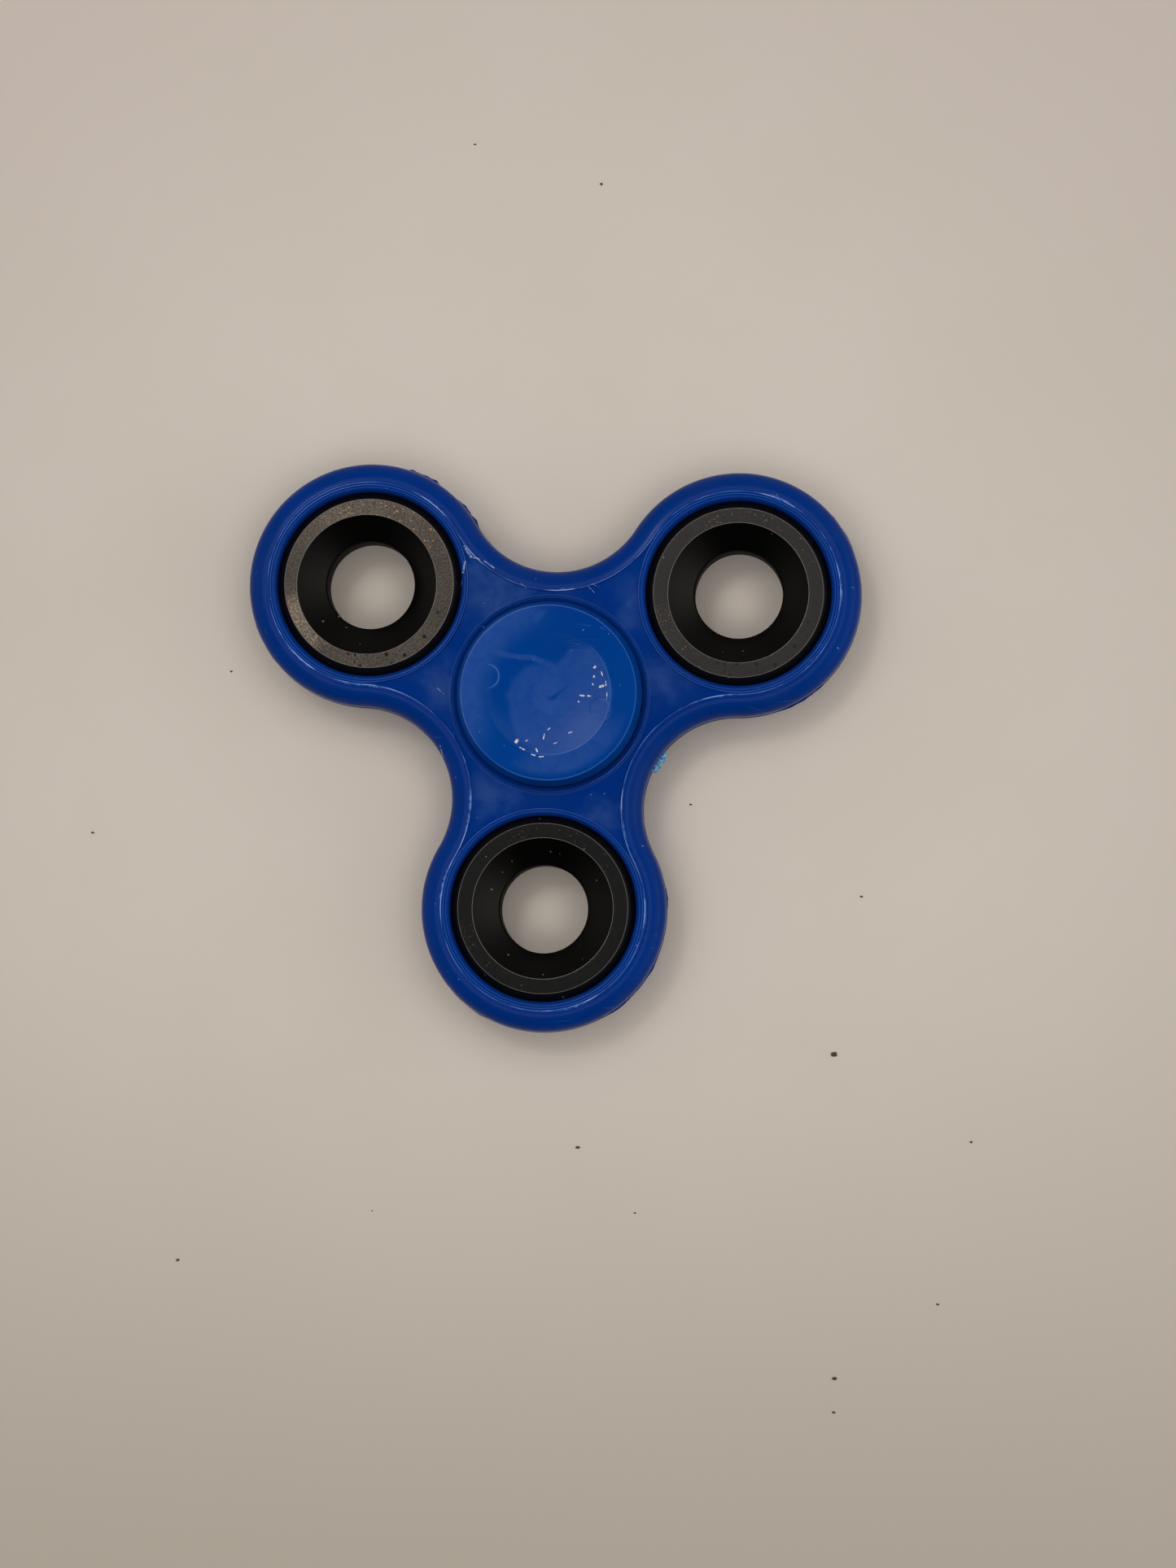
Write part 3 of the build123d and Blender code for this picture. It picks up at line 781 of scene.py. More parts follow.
# thin specks of dust: one possible speck in each cell, and only a share of the cells has one
def specks(tree, where, cell, radius, share, seed=0.0):
    # the cells lie in the XY plane, sheared by the height so that an upright wall takes dots as well
    height = addNode(tree, "ShaderNodeSeparateXYZ", inputs={0: where}).outputs["Z"]
    sheared = addNode(tree, "ShaderNodeVectorMath", {"operation": "MULTIPLY_ADD"}, {
        0: height, 1: (0.5, -0.35, 0), 2: where})
    moved = addNode(tree, "ShaderNodeVectorMath", {"operation": "ADD"}, {
        0: sheared.outputs[0], 1: (seed, seed, 0)})
    cells = addNode(tree, "ShaderNodeTexVoronoi", {"feature": "F1", "voronoi_dimensions": "2D"}, {
        "Vector": moved.outputs[0], "Scale": 1 / cell, "Randomness": 0.9})
    chance = addNode(tree, "ShaderNodeSeparateColor", inputs={"Color": cells.outputs["Color"]})
    size = combine(tree, "MULTIPLY", chance.outputs[1], 1.2 * radius / cell)
    inside = combine(tree, "SUBTRACT", size, cells.outputs["Distance"])
    dot = ease(tree, inside, 0, 0.25 * radius / cell)
    return combine(tree, "MULTIPLY", dot, combine(tree, "LESS_THAN", chance.outputs[0], share))


# thin broken hairlines that all run roughly one way, turned by angle degrees
def hairlines(tree, where, angle, spacing, share, seed=0.0):
    stretched = addNode(tree, "ShaderNodeMapping", inputs={
        "Vector": where, "Rotation": (0, 0, radians(angle)), "Location": (seed, seed * 2, 0),
        "Scale": (0.16 / spacing, 1.6 / spacing, 0.3 / spacing)})
    wavy = addNode(tree, "ShaderNodeTexNoise", inputs={
        "Vector": stretched.outputs[0], "Scale": 1.0, "Detail": 1.5, "Distortion": 0.35}).outputs["Fac"]
    offLine = combine(tree, "ABSOLUTE", combine(tree, "SUBTRACT", wavy, 0.5))
    patch = ease(tree, grain(tree, where, spacing * 3, 2, seed=seed + 31), 0.62 - share, 0.66 - share)
    return combine(tree, "MULTIPLY", ease(tree, offLine, 0.0, 0.006, 1, 0), patch)


# a pale line where a profile has an edge, standing for wear and for a painted highlight: how close a
# distance in millimetres is to a given one
def wearAndHighlightLine(tree, distance, middle, width, core=0.25):
    gap = combine(tree, "ABSOLUTE", combine(tree, "SUBTRACT", distance, middle))
    return ease(tree, gap, core * width, width, 1, 0)


# strongest towards a direction, gone beyond half degrees on either side
def sector(tree, flat, angle, half, strength):
    unit = addNode(tree, "ShaderNodeVectorMath", {"operation": "NORMALIZE"}, {0: flat})
    toward = addNode(tree, "ShaderNodeVectorMath", {"operation": "DOT_PRODUCT"}, {
        0: unit.outputs[0], 1: (cos(radians(angle)), sin(radians(angle)), 0)})
    return ease(tree, toward.outputs["Value"], cos(radians(half)), cos(radians(half * 0.4)), 0, strength)


# a scuff along a short straight run, given in millimetres in the XY plane
def stroke(tree, flat, start, end, width):
    a, b = Vector((*start, 0)), Vector((*end, 0))
    run = b - a
    rel = addNode(tree, "ShaderNodeVectorMath", {"operation": "SUBTRACT"}, {0: flat, 1: a})
    dot = addNode(tree, "ShaderNodeVectorMath", {"operation": "DOT_PRODUCT"}, {0: rel.outputs[0], 1: run})
    t = combine(tree, "DIVIDE", dot.outputs["Value"], run.length_squared, clamp=True)
    foot = addNode(tree, "ShaderNodeVectorMath", {"operation": "SCALE"}, {0: run, "Scale": t})
    gap = addNode(tree, "ShaderNodeVectorMath", {"operation": "DISTANCE"}, {
        0: rel.outputs[0], 1: foot.outputs[0]})
    return ease(tree, gap.outputs["Value"], 0.3 * width, width, 1, 0)


# painted glints: short bright strokes in the dish that stand in for the lamp's reflection on its broken
# polish; start, end and width of each in mm
capGlints = {
    "runs": [((-3.6, -5.95), (-3.45, -5.75), 0.24), ((-2.4, -5.8), (-2.3, -5.75), 0.13),
             ((-3.1, -6.6), (-2.6, -6.85), 0.10), ((-1.2, -6.7), (-1.05, -7.0), 0.13),
             ((-1.7, -7.4), (-1.3, -7.5), 0.09), ((-0.8, -7.65), (-0.3, -7.6), 0.09),
             ((5.35, 3.1), (5.45, 3.2), 0.17), ((5.35, 2.0), (5.35, 2.1), 0.14),
             ((5.25, 1.1), (5.25, 1.15), 0.14), ((6.1, 0.85), (6.45, 0.95), 0.19),
             ((3.8, -0.2), (4.2, -0.25), 0.14), ((4.7, -0.25), (5.0, -0.3), 0.12),
             ((3.6, -0.95), (3.62, -0.98), 0.12), ((6.2, 2.6), (6.35, 2.2), 0.08),
             ((6.75, 1.5), (6.8, 1.0), 0.08), ((6.95, 0.2), (6.95, -0.6), 0.06),
             ((2.6, -4.7), (2.9, -4.6), 0.09), ((0.9, -6.0), (1.15, -5.9), 0.10),
             ((-0.3, -4.9), (-0.4, -5.5), 0.09), ((0.1, -4.4), (0.3, -4.2), 0.08)],
    "raggedSize": 0.28,  # mm
    "raggedSeed": 40,
    "raggedRange": (0.36, 0.52),
    "above": (0, 1),  # mm of height over which the marks come in, so that the underside has none
    "strength": 0.8,
}
# pale scuffs at the waist above the cap and beside the worn lobe's collar
frameMarks = {
    "runs": [((-10.7, 17.4), (-9.9, 16.2), 0.22), ((-9.9, 16.2), (-8.9, 15.9), 0.12),
             ((-10.6, 15.6), (-10.8, 14.3), 0.16), ((-10.9, 13.3), (-11.1, 12.3), 0.10),
             ((-8.3, 15.7), (-7.1, 14.9), 0.08), ((-3.9, 13.2), (-3.2, 12.6), 0.04),
             ((4.2, 13.0), (4.9, 12.3), 0.04), ((4.6, 13.3), (5.5, 12.9), 0.035),
             ((16.5, 5.3), (18.2, 3.9), 0.08), ((12.7, -9.3), (11.9, -9.9), 0.08),
             ((-12.9, -6.4), (-12.5, -7.9), 0.07), ((-13.4, 0.4), (-12.6, -0.3), 0.06)],
    "raggedSize": 0.4,
    "raggedSeed": 44,
    "raggedRange": (0.40, 0.56),
    "above": (1, 2),
    "strength": 0.62,
}


# the frame's pale scuffs and the cap's painted glints, only on the side that faces up
def glintsAndScuffs(tree, where, flat, spec):
    marks = [stroke(tree, flat, *run) for run in spec["runs"]]
    ragged = grain(tree, where, spec["raggedSize"], 3, 0.7, 0.3, spec["raggedSeed"])
    up = addNode(tree, "ShaderNodeSeparateXYZ", inputs={0: where}).outputs["Z"]
    return combine(tree, "MULTIPLY", combine(tree, "MAXIMUM", *marks),
                   ease(tree, ragged, *spec["raggedRange"]),
                   ease(tree, up, *spec["above"]), spec["strength"])


# ABS moulded in a polished tool: a deep even blue with a soft gloss, filmed with handling grease under a
# painted sheen, and whitened where sharp edges have been knocked, with painted highlights along its edges
# and painted shade at the parting line
blueSpec = {
    "body": "#003080",
    "bodyDeep": "#002C78",
    "filmAndSheen": "#2C4C8A",
    "filmSheenStrength": 0.7,
    "edge": "#5D8CDE",  # a worn edge with its painted highlight, then a knocked one
    "white": "#93A9DC",
    "shade": "#02133C",  # painted shade along the parting line
    "glintAndScuff": "#BCCBEE",
    "roughness": 0.13,
    "filmRoughness": 0.24,
    "ior": 1.53,
    "specular": 0.05,
    # x, y and radius in mm of the places on the flat web that fingers have filmed, which also take a painted
    # sheen
    "filmSheenSpots": [(-7.0, 12.0, 7.5), (10.0, 11.0, 5.0), (-12.6, 0.6, 4.8), (13.2, 2.0, 4.5),
               (-6.4, -12.0, 4.6), (0.5, 13.2, 3.0), (6.5, -14.5, 3.5)],
    # the same for the lengths of the rim's ridge that have been knocked most
    "knocked": [(-12.0, 16.0, 6.0), (1.5, 13.0, 3.0), (-30.0, 3.6, 6.5), (-21.0, 0.4, 5.5),
                (-9.5, -14.0, 8.0), (-11.5, -23.0, 6.0), (10.5, -15.0, 6.5), (12.0, -26.0, 4.0),
                (20.0, 2.0, 5.5), (27.0, 24.6, 5.0), (-13.5, 22.6, 5.0), (4.0, -36.8, 5.5),
                (33.5, 13.5, 6.0), (-24.5, 1.0, 4.5)],
    "sway": 7.0,  # mm: how far noise bends the spots of film and painted sheen out of round
    "peelSize": 0.9,  # mm: the faint unevenness of a moulded face
    "peelDepth": 0.004 * mm,
    "dustCell": 1.5,  # mm
    "dustRadius": 0.09,  # mm, drawn a little coarse so that it shows
    "dustShare": 0.10,
    "dustStrength": 0.5,
    "hairStrength": 0.12,
}
# the cap is the same plastic, paler; its pins' marks take painted shade, and its painted glints are whiter
capBlueSpec = {**blueSpec, "body": "#003D8C", "bodyDeep": "#003988", "filmAndSheen": "#2F549E", "shade": "#001A55",
               "glintAndScuff": "#F4F2EE", "hairStrength": 0.18}


# the cap: a thumb's film in the dish with a painted sheen, painted highlight lines round the rim and the
# dish, the pins' marks painted lit on one side and shaded on the other, and painted glints
def capWearAndLight(tree, where, flat, offAxis, broad, spec):
    haze, pinLight, pinDark = painted(tree, "haze", "pinLight", "pinDark")
    mottle = ease(tree, grain(tree, where, 2.2, 5, 0.7, 1.1, 8), 0.3, 0.65, 0.62, 1)
    # painted highlights: pale lines on the rim's edge and, towards the lower right, on the dish's edge
    rim = combine(tree, "MULTIPLY", wearAndHighlightLine(tree, offAxis, 10.36, 0.09, 0.3),
                  ease(tree, broad, 0.3, 0.6, 0.18, 0.28))
    dish = combine(tree, "MULTIPLY", wearAndHighlightLine(tree, offAxis, 7.38, 0.10, 0.3),
                   sector(tree, flat, -30, 95, 0.26))
    wornAndLit = combine(tree, "MAXIMUM", rim, dish, combine(tree, "MULTIPLY", pinLight, 0.34))
    return (combine(tree, "MULTIPLY", haze, mottle), wornAndLit, combine(tree, "MULTIPLY", pinDark, 0.7),
            glintsAndScuffs(tree, where, flat, capGlints))


# the frame: film with a painted sheen on the flat web, edges worn pale and scraped where knocked with
# painted highlight lines along them, and painted shade along the parting line
def frameWearAndLight(tree, where, flat, offAxis, broad, spec):
    inboard, mouth = painted(tree, "inboard", "mouth")
    sway = addNode(tree, "ShaderNodeTexNoise", inputs={
        "Vector": flat, "Scale": 0.35, "Detail": 2.0}).outputs["Color"]
    bent = addNode(tree, "ShaderNodeVectorMath", {"operation": "MULTIPLY_ADD"}, {
        0: sway, 1: (spec["sway"], spec["sway"], 0), 2: flat}).outputs[0]
    # the noise is a half on average, so each spot is moved by half of the sway to stay in its place
    half = spec["sway"] / 2
    # painted sheen: the film's spots are drawn paler as well as rougher, for the soft reflection they show
    filmAndSheen = combine(tree, "MAXIMUM", *[spot(tree, bent, (x + half, y + half, 0), radius)
                                      for x, y, radius in spec["filmSheenSpots"]])
    mottle = ease(tree, grain(tree, where, 3.0, 4, 0.6, 0.8, 6), 0.25, 0.7, 0.3, 1)
    web = ease(tree, combine(tree, "MINIMUM", inboard, mouth), 2.6, 3.2)
    filmAndSheen = combine(tree, "ADD", combine(tree, "MULTIPLY", filmAndSheen, mottle, web),
                   ease(tree, broad, 0.5, 0.7, 0, 0.12))
    knocked = combine(tree, "MAXIMUM", *[spot(tree, flat, (x, y, 0), radius)
                                         for x, y, radius in spec["knocked"]])
    breaks = ease(tree, grain(tree, where, 3.0, 3, 0.6, 0.4, 21), 0.35, 0.62, 0.15, 1)
    # painted highlights: the pale lines on the rim's ridge, the collars' lips and the step round the centre
    # stand in for the light these edges catch; the ridge is whitened further where knocked, and the scrapes
    # beside it are wear
    ridge = combine(tree, "MULTIPLY", wearAndHighlightLine(tree, inboard, 2.47, 0.08), breaks,
                    ease(tree, knocked, 0, 0.7, 0.5, 1.0))
    scrapes = ease(tree, grain(tree, where, 0.5, 4, 0.75, 0.3, 27), 0.44, 0.62)
    scraped = combine(tree, "MULTIPLY", wearAndHighlightLine(tree, inboard, 2.42, 0.26),
                      ease(tree, knocked, 0.5, 1), scrapes, 0.55)
    lip = combine(tree, "MULTIPLY", wearAndHighlightLine(tree, mouth, 0.82, 0.06), 0.26)
    lipInner = combine(tree, "MULTIPLY", wearAndHighlightLine(tree, mouth, 0.52, 0.05),
                       ease(tree, offAxis, 12.6, 13.4), 0.14)
    step = combine(tree, "MULTIPLY", wearAndHighlightLine(tree, offAxis, 11.9, 0.07, 0.3), 0.12)
    wornAndLit = combine(tree, "MAXIMUM", ridge, scraped, lip, lipInner, step)
    up = combine(tree, "ABSOLUTE", addNode(tree, "ShaderNodeSeparateXYZ", inputs={0: where}).outputs["Z"])
    # painted shade: a dark line along the parting line at the rim's outer edge
    partingShade = combine(tree, "MULTIPLY", ease(tree, inboard, 0.046, 0.03), ease(tree, up, 0.18, 0.08), 0.75)
    return filmAndSheen, wornAndLit, partingShade, glintsAndScuffs(tree, where, flat, frameMarks)


def blueShader(name, spec, wearAndLight):
    material, tree = newMaterial(name)
    where = place(tree)
    flat = flatten(tree, where)
    offAxis = addNode(tree, "ShaderNodeVectorMath", {"operation": "LENGTH"}, {0: flat}).outputs["Value"]
    broad = grain(tree, where, 9.0, 3, 0.55, 0.6, 3)
    fine = grain(tree, where, 0.35, 3, 0.6, 0, 12)
    filmAndSheen, wornAndLit, shade, glintAndScuff = wearAndLight(tree, where, flat, offAxis, broad, spec)
    dust = specks(tree, where, spec["dustCell"], spec["dustRadius"], spec["dustShare"], 5)
    hair = combine(tree, "MAXIMUM", hairlines(tree, where, 25, 2.6, 0.04, 2),
                   hairlines(tree, where, -50, 3.1, 0.03, 9))
    light = combine(tree, "MAXIMUM", wornAndLit, combine(tree, "MULTIPLY", dust, spec["dustStrength"]),
                    combine(tree, "MULTIPLY", hair, spec["hairStrength"]))
    pale = coat(tree, spec["edge"], (ease(tree, light, 0.35, 0.8), spec["white"]))
    # the last coat is the cap's painted glints and the frame's pale scuffs
    tone = coat(tree, spec["body"], (ease(tree, broad, 0.3, 0.7), spec["bodyDeep"]), (shade, spec["shade"]),
                (combine(tree, "MULTIPLY", filmAndSheen, spec["filmSheenStrength"]), spec["filmAndSheen"]), (light, pale),
                (glintAndScuff, spec["glintAndScuff"]))
    rough = combine(tree, "ADD", ease(tree, filmAndSheen, 0, 1, spec["roughness"], spec["filmRoughness"]),
                    combine(tree, "MULTIPLY", combine(tree, "SUBTRACT", fine, 0.5), 0.08))
    height = combine(tree, "ADD", grain(tree, where, spec["peelSize"], 2, 0.5, 0, 17),
                     combine(tree, "MULTIPLY", hair, -0.6), combine(tree, "MULTIPLY", dust, 3.0))
    finishMaterial(tree, {"Base Color": tone, "Roughness": rough, "IOR": spec["ior"],
                          "Specular IOR Level": spec["specular"]}, height, spec["peelDepth"])
    return material


# black-oxide steel: turned, then blackened in a hot bath, so it is dark and satin with a faint warm cast
# where the skin has worn thin; wornAndLit is 0 for sound and 1 for rubbed down to grey steel, and also sets
# the strength of the painted highlights on the face and its edges
ringLooks = {
    "counterweight_1": {"skin": "#1A1A1A", "bare": "#242322", "wornAndLit": 0.30, "dusty": 0.16},
    "counterweight_2": {"skin": "#2B2A2A", "bare": "#3D3A38", "wornAndLit": 0.50, "dusty": 0.03},
    "counterweight_3": {"skin": "#2E2B28", "bare": "#5F5851", "wornAndLit": 1.00, "dusty": 0.06},
}
oxideSpec = {
    "cone": "#201F1D",
    # painted light: the outer chamfer is drawn paler where light falls on it
    "chamfer": "#3E3B37",
    # painted shade: the bore's wall is drawn darker
    "wall": "#100F0E",
    "bright": "#95887A",  # painted highlight on the worn face, in two fixed sectors
    "copper": "#B48A62",
    # colour of the painted highlight lines on the face's edges, over worn skin
    "edge": "#8E8A86",
    "pit": "#14110E",
    "dust": "#8D867B",  # matt, so it isn't a metal where it lies
    "roughness": 0.42,
    "coneRoughness": 0.2,
    "turnSpacing": 0.22,  # mm between the turning tool's marks
    "grit": 0.24,  # mm: the worn face's speckle, drawn a little coarse so that it shows
}


def oxideShader(name, look, spec, centre):
    material, tree = newMaterial(name)
    where = place(tree, (centre.x, centre.y, 0))
    flat = flatten(tree, where)
    [reach] = painted(tree, "reach")
    up = combine(tree, "ABSOLUTE", addNode(tree, "ShaderNodeSeparateXYZ", inputs={0: where}).outputs["Z"])
    # the flat faces are rubbed most, and the cones keep their skin; the bore's wall is painted darker as
    # shade, and the outer chamfer paler as painted light
    face = combine(tree, "MULTIPLY", ease(tree, reach, 8.3, 8.42), ease(tree, reach, 10.17, 10.07),
                   ease(tree, up, 3.40, 3.47))
    inCone, wall = ease(tree, reach, 8.45, 8.3), ease(tree, reach, 5.45, 5.3)
    # painted highlights along the face's two edges, where the skin is also worn
    edge = combine(tree, "MAXIMUM", wearAndHighlightLine(tree, reach, 8.36, 0.055), wearAndHighlightLine(tree, reach, 10.09, 0.06))
    edge = combine(tree, "MULTIPLY", edge, ease(tree, up, 3.3, 3.42), 0.30 + 0.15 * look["wornAndLit"])
    patches = ease(tree, grain(tree, where, 5.0, 4, 0.6, 0.5, 3), 0.32, 0.66, 0.55, 1)
    speckle = ease(tree, grain(tree, where, spec["grit"], 3, 0.8, 0, 6), 0.36, 0.62)
    rub = combine(tree, "MULTIPLY", face, patches, ease(tree, speckle, 0, 1, 0.15, 1), look["wornAndLit"])
    # painted highlight: the worn face is drawn brighter in two fixed sectors, as a turned face catches the
    # light there
    lit = combine(tree, "MAXIMUM", sector(tree, flat, 90, 75, 0.35), sector(tree, flat, 212, 26, 0.8))
    bare = coat(tree, look["bare"], (combine(tree, "MULTIPLY", lit, look["wornAndLit"] ** 4), spec["bright"]))
    # the thinnest skin shows copper-coloured grains, and the side away from them is pitted
    warm = combine(tree, "MAXIMUM", sector(tree, flat, 75, 60, 1.0), sector(tree, flat, 215, 30, 1.0))
    copper = combine(tree, "MULTIPLY", specks(tree, where, 0.34, 0.11, 0.26, 2), face,
                     look["wornAndLit"] ** 2, warm, 0.75)
    pits = combine(tree, "MULTIPLY", specks(tree, where, 0.75, 0.24, 0.26, 23), face,
                   sector(tree, flat, -62, 62, 1.0), look["wornAndLit"])
    dust = specks(tree, where, 1.15, 0.10, look["dusty"], 8 + 90 * look["dusty"])
    dust = combine(tree, "MULTIPLY", dust, 0.6)
    tone = coat(tree, look["skin"], (rub, bare), (inCone, spec["cone"]),
                (ease(tree, reach, 10.14, 10.22), spec["chamfer"]), (wall, spec["wall"]),
                (copper, spec["copper"]), (combine(tree, "MULTIPLY", pits, 0.85), spec["pit"]),
                (edge, spec["edge"]), (dust, spec["dust"]))
    rough = combine(tree, "ADD", combine(tree, "MULTIPLY", speckle, 0.12, face),
                    ease(tree, inCone, 0, 1, spec["roughness"], spec["coneRoughness"]),
                    combine(tree, "MULTIPLY", wall, 0.55))
    turnLines = addNode(tree, "ShaderNodeTexWave", {"wave_type": "RINGS", "rings_direction": "Z"}, {
        "Vector": where, "Scale": 0.314 / spec["turnSpacing"], "Distortion": 0.6, "Detail": 2,
        "Detail Scale": 0.6})
    relief = combine(tree, "ADD", combine(tree, "MULTIPLY", rub, 1.2), 0.15)
    height = combine(tree, "ADD", combine(tree, "MULTIPLY", turnLines.outputs["Fac"], 0.2),
                     combine(tree, "MULTIPLY", speckle, relief), combine(tree, "MULTIPLY", pits, -4.0))
    finishMaterial(tree, {"Base Color": tone, "Metallic": combine(tree, "SUBTRACT", 1.0, dust),
                          "Roughness": rough}, height, 0.012 * mm)
    return material


# plain steels of the bearing: ground races, polished balls, pressed cage and shields, drawn wire
steelLooks = {
    "groundRaceSteel": {"tone": "#A8AAAC", "dull": "#7B7C7D", "roughness": 0.22, "lines": 0.30},
    "polishedBallSteel": {"tone": "#C4C6C8", "dull": "#A9ABAD", "roughness": 0.08, "lines": 0.0},
    "pressedCageSteel": {"tone": "#9A9A97", "dull": "#77766F", "roughness": 0.36, "lines": 0.15},
    "pressedShieldSteel": {"tone": "#A5A5A3", "dull": "#85847F", "roughness": 0.30, "lines": 0.45},
    "drawnWireSteel": {"tone": "#8F9092", "dull": "#6B6B6A", "roughness": 0.28, "lines": 0.10},
}
steelNodes = {
    "groundRaceSteel": ["bearing_outer_race", "bearing_inner_race"],
    "polishedBallSteel": [f"bearing_ball_{n}" for n in range(1, 8)],
    "pressedCageSteel": ["bearing_cage_upper", "bearing_cage_lower"],
    "pressedShieldSteel": ["bearing_shield_upper", "bearing_shield_lower"],
    "drawnWireSteel": ["shield_snap_wire_upper", "shield_snap_wire_lower"],
}


def steelShader(name, look):
    material, tree = newMaterial(name)
    where = place(tree)
    smear = ease(tree, grain(tree, where, 1.8, 3, 0.6, 0.4, 4), 0.35, 0.7)
    rings = addNode(tree, "ShaderNodeTexWave", {"wave_type": "RINGS", "rings_direction": "Z"}, {
        "Vector": where, "Scale": 2.0, "Distortion": 0.4, "Detail": 2})
    height = combine(tree, "ADD", combine(tree, "MULTIPLY", rings.outputs["Fac"], look["lines"]),
                     combine(tree, "MULTIPLY", grain(tree, where, 0.12, 3, 0.7, 0, 1), 0.5))
    rough = combine(tree, "ADD", combine(tree, "MULTIPLY", smear, 0.12), look["roughness"])
    finishMaterial(tree, {"Base Color": coat(tree, look["tone"], (smear, look["dull"])), "Metallic": 1.0,
                          "Roughness": rough}, height, 0.003 * mm)
    return material


# torn ABS: stretched and broken plastic goes pale where it is crazed
def tornShader():
    material, tree = newMaterial("tornAbs")
    where = place(tree)
    crazed = ease(tree, grain(tree, where, 0.5, 3, 0.7, 1.0, 2), 0.42, 0.56)
    finishMaterial(tree, {"Base Color": coat(tree, "#0B3A80", (crazed, "#7ABCE4")), "Roughness": 0.62,
                          "IOR": blueSpec["ior"]}, grain(tree, where, 0.18, 4, 0.7, 0, 5), 0.05 * mm)
    return material


frameBlue = blueShader("mouldedAbsFrame", blueSpec, frameWearAndLight)
capBlue = blueShader("mouldedAbsCap", capBlueSpec, capWearAndLight)
tornAbs = tornShader()
print("materials made")

# pieces
body = makeFrame(frameSpec, frameBlue)
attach(body, "rotor")
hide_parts("spinner_frame")

gateStub = makeGateStub(leftoverSpec, tornAbs)
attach(gateStub, "rotor")
for number, (lobe, first, last, reach) in enumerate(leftoverSpec["flash"], start=1):
    flash = makeFlash(number, lobe, first, last, reach, frameBlue)
    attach(flash, "rotor")

for side, node in ((1, "finger_cap_upper"), (-1, "finger_cap_lower")):
    cap = makeCap("fingerCapUpper" if side > 0 else "fingerCapLower", capSpec, capBlue, side)
    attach(cap, "hub")
    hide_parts(node)

for name in weights:
    number = name.split("_")[1]
    look = oxideShader("blackOxideSteel" + number, ringLooks[name], oxideSpec, weightCentres[name])
    ring = makeRing("counterweightRing" + number, name, ringSpec, look, weightCentres[name].xy)
    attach(ring, "rotor")
    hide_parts(name)

for steelName, nodes in steelNodes.items():
    steel = steelShader(steelName, steelLooks[steelName])
    for node in nodes:
        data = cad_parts[node].data
        data.materials.clear()
        data.materials.append(steel)
print("pieces made")

# floor and its crumbs
floorSpec = {
    "size": 3.0,
    "gap": 0.01 * mm,  # below the lower cap's rim
    "tone": "#D4CAC0",
    "toneDark": "#D1C7BC",
    # painted shade: the paper is drawn greyer towards the near edge, and a little all round, where light
    # falls off; ranges in mm
    "shadeNear": "#AFA79A",
    "nearRange": (-20, -130),
    "shadeFar": "#C8BDB4",
    "farRange": (35, 125),
    "crumbTone": "#4A3A2A",
    # mm on the floor, and mm across
    "crumbs": [(34.9, -41.5, 0.75), (4.5, -53.6, 0.5), (48.0, -70.8, 0.35), (36.0, -80.0, 0.55),
               (36.0, -84.0, 0.4), (-43.3, -68.7, 0.45), (11.6, -61.2, 0.3), (37.6, -22.5, 0.35),
               (3.6, 63.4, 0.4), (-12.0, 68.0, 0.3), (-55.7, -17.5, 0.35), (51.5, -51.4, 0.35),
               (-39.5, 2.6, 0.3), (-20.0, -62.0, 0.2), (16.8, -12.0, 0.3)],
}


def makeFloor(spec):
    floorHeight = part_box("finger_cap_lower")[0].z - spec["gap"]
    # uncoated paper: matt, warm white, barely mottled
    material, tree = newMaterial("mattPaper")
    where = place(tree)
    mottle = ease(tree, grain(tree, where, 30, 4, 0.6, 0, 2), 0.3, 0.7)
    away = addNode(tree, "ShaderNodeVectorMath", {"operation": "LENGTH"}, {0: where}).outputs["Value"]
    along = addNode(tree, "ShaderNodeSeparateXYZ", inputs={0: where}).outputs["Y"]
    # painted shade: darker towards the near edge and a little all round
    tone = coat(tree, spec["tone"], (mottle, spec["toneDark"]),
                (ease(tree, away, *spec["farRange"]), spec["shadeFar"]),
                (ease(tree, along, *spec["nearRange"]), spec["shadeNear"]))
    finishMaterial(tree, {"Base Color": tone, "Roughness": 0.9, "Specular IOR Level": 0.15},
                   grain(tree, where, 0.5, 4, 0.7), 0.01 * mm)
    half = spec["size"] / 2
    mesh = bpy.data.meshes.new("floor")
    mesh.from_pydata([(-half, -half, floorHeight), (half, -half, floorHeight), (half, half, floorHeight),
                      (-half, half, floorHeight)], [], [(0, 1, 2, 3)])
    floor = newObject("floor", mesh, material)
    crumbMaterial, tree = newMaterial("crumb")
    finishMaterial(tree, {"Base Color": colour(spec["crumbTone"]), "Roughness": 0.8})
    bm = bmesh.new()
    for number, (x, y, across) in enumerate(spec["crumbs"]):
        made = bmesh.ops.create_icosphere(bm, subdivisions=3, radius=1.0)["verts"]
        for vert in made:
            lump = 1 + 0.6 * noise.noise(vert.co * 1.3 + Vector((number * 3.7, 0, 0)))
            vert.co = Vector((x * mm, y * mm, floorHeight + 0.1 * across * mm)) + Vector(
                (vert.co.x * across * 0.5, vert.co.y * across * 0.32, vert.co.z * across * 0.2)) * mm * lump
    mesh = bpy.data.meshes.new("crumbs")
    bm.to_mesh(mesh)
    bm.free()
    newObject("crumbs", mesh, crumbMaterial)


makeFloor(floorSpec)

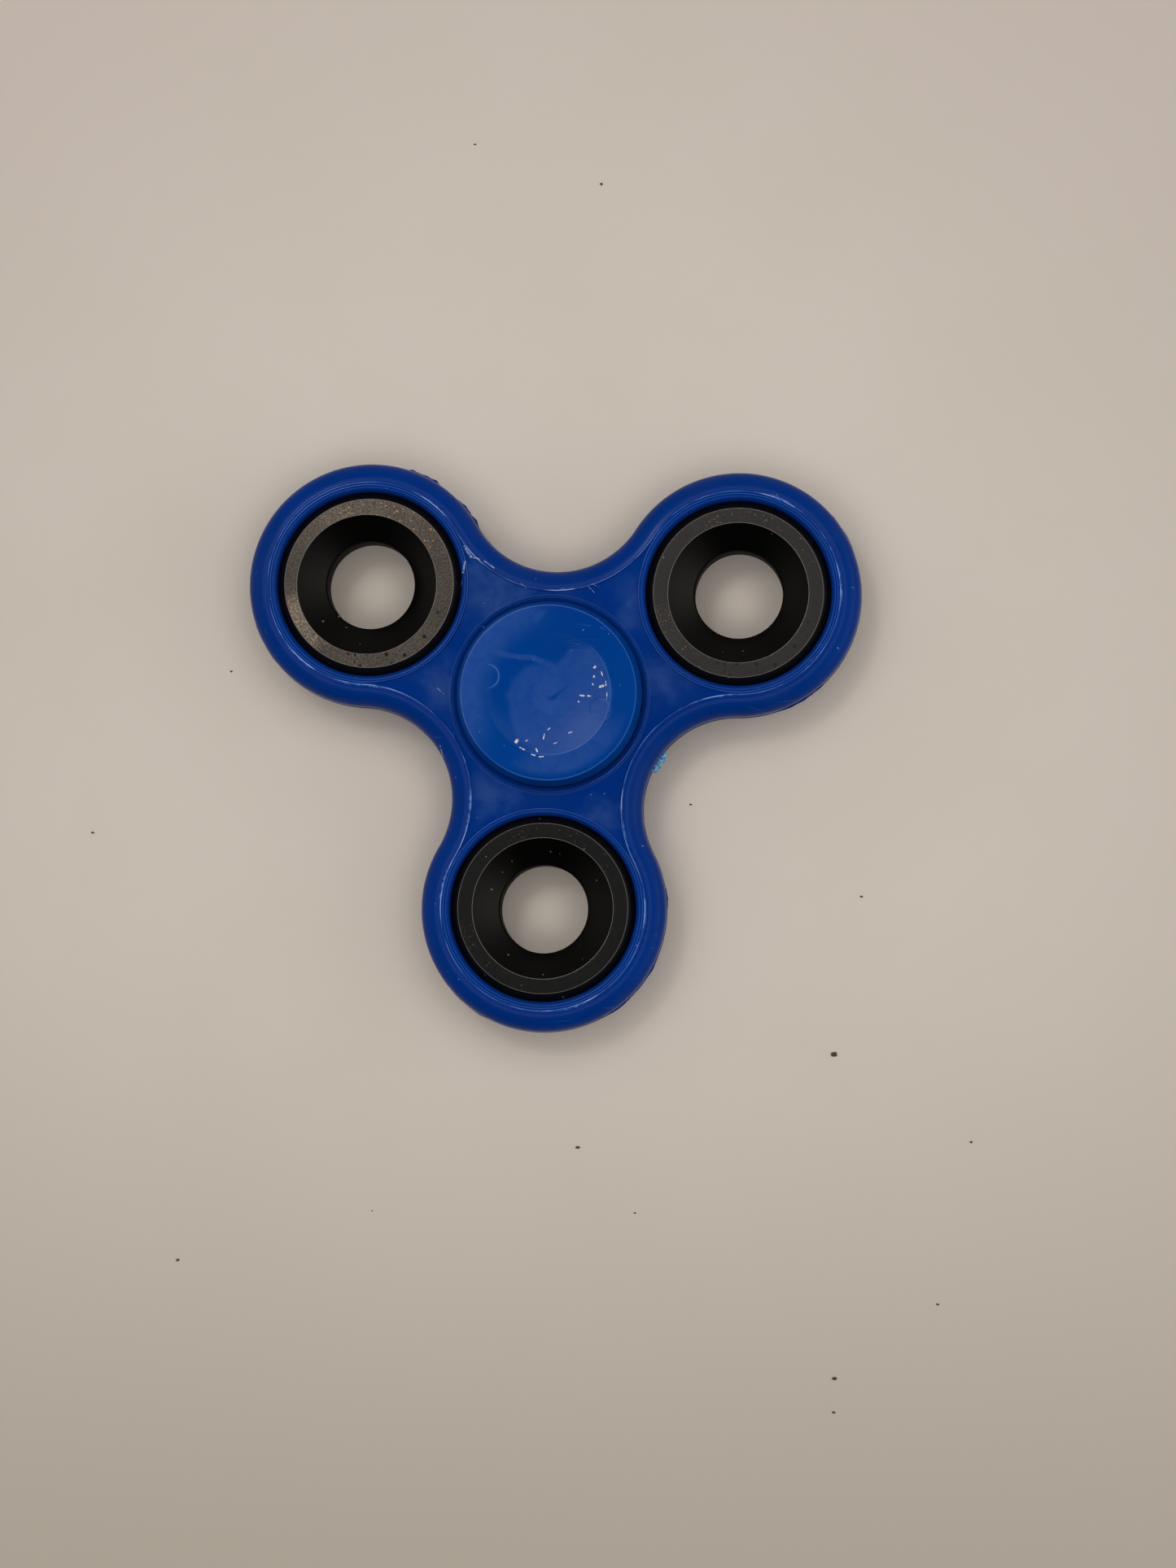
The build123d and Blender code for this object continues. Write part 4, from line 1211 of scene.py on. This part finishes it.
# light: a bright ring overhead, dark in its middle where the phone is held, in a dim room with paler
# sides, and a small lamp at the upper left
lightSpec = {
    "axis": (0.0, 0.01, 1.0),  # towards the middle of the bright ring overhead
    "core": 0.07,  # brightness inside the ring and of the ring itself
    "ring": 2.05,
    "window": (-0.62, 0.38, 0.72),  # towards a soft bright patch at the upper left
    "windowLevel": 0.25,
    "windowReach": (8, 34),  # degrees from that direction
    "lean": (-0.03, 0.05, 0.0),  # the ring is brighter towards here
    "room": 0.075,  # brightness of the rest of the room, then what its right, left and far sides add
    "right": 1.5,
    "left": 0.5,
    "far": 0.35,
    "ringStart": (12, 17),  # degrees from the axis
    "ringEnd": (30, 44),
    "tint": "#FFFDFA",
    "lampPower": 0.7,
    "lampSize": 0.16,
    "lampPlace": (-0.24, 0.26, 0.95),
}


def makeLight(spec):
    world = bpy.data.worlds.new("room")
    bpy.context.scene.world = world
    world.use_nodes = True
    tree = world.node_tree
    tree.nodes.clear()
    way = addNode(tree, "ShaderNodeTexCoord").outputs["Generated"]

    def towards(direction):
        return addNode(tree, "ShaderNodeVectorMath", {"operation": "DOT_PRODUCT"}, {
            0: way, 1: direction}).outputs["Value"]

    def degreesFrom(direction):
        leaning = combine(tree, "ARCCOSINE", towards(Vector(direction).normalized()))
        return combine(tree, "MULTIPLY", leaning, 180 / pi)

    angle = degreesFrom(spec["axis"])
    ring = combine(tree, "MULTIPLY", ease(tree, angle, *spec["ringStart"], spec["core"], spec["ring"]),
                   combine(tree, "ADD", towards(spec["lean"]), 1.0))
    room = spec["room"]
    for side, direction in (("right", (1, 0, 0)), ("far", (0, 1, 0)), ("left", (-1, 0, 0))):
        narrowed = combine(tree, "POWER", combine(tree, "MAXIMUM", towards(direction), 0.0), 4.0)
        room = combine(tree, "ADD", room, combine(tree, "MULTIPLY", narrowed, spec[side]))
    window = ease(tree, degreesFrom(spec["window"]), *spec["windowReach"], spec["windowLevel"], 0.0)
    within = ease(tree, angle, *spec["ringEnd"], 1.0, 0.0)
    level = combine(tree, "ADD", combine(tree, "MULTIPLY", ring, within),
                    combine(tree, "MULTIPLY", combine(tree, "ADD", room, window),
                            combine(tree, "SUBTRACT", 1.0, within)))
    background = addNode(tree, "ShaderNodeBackground", inputs={
        "Color": colour(spec["tint"]), "Strength": level})
    addNode(tree, "ShaderNodeOutputWorld", inputs={"Surface": background.outputs[0]})
    data = bpy.data.lights.new("lamp", "AREA")
    data.shape = "DISK"
    data.size = spec["lampSize"]
    data.energy = spec["lampPower"]
    lamp = bpy.data.objects.new("lamp", data)
    bpy.context.scene.collection.objects.link(lamp)
    lamp.location = spec["lampPlace"]
    lamp.rotation_euler = (-Vector(spec["lampPlace"])).to_track_quat("-Z", "Y").to_euler()


makeLight(lightSpec)
bpy.context.scene.view_settings.view_transform = "Standard"
print("floor and light made")
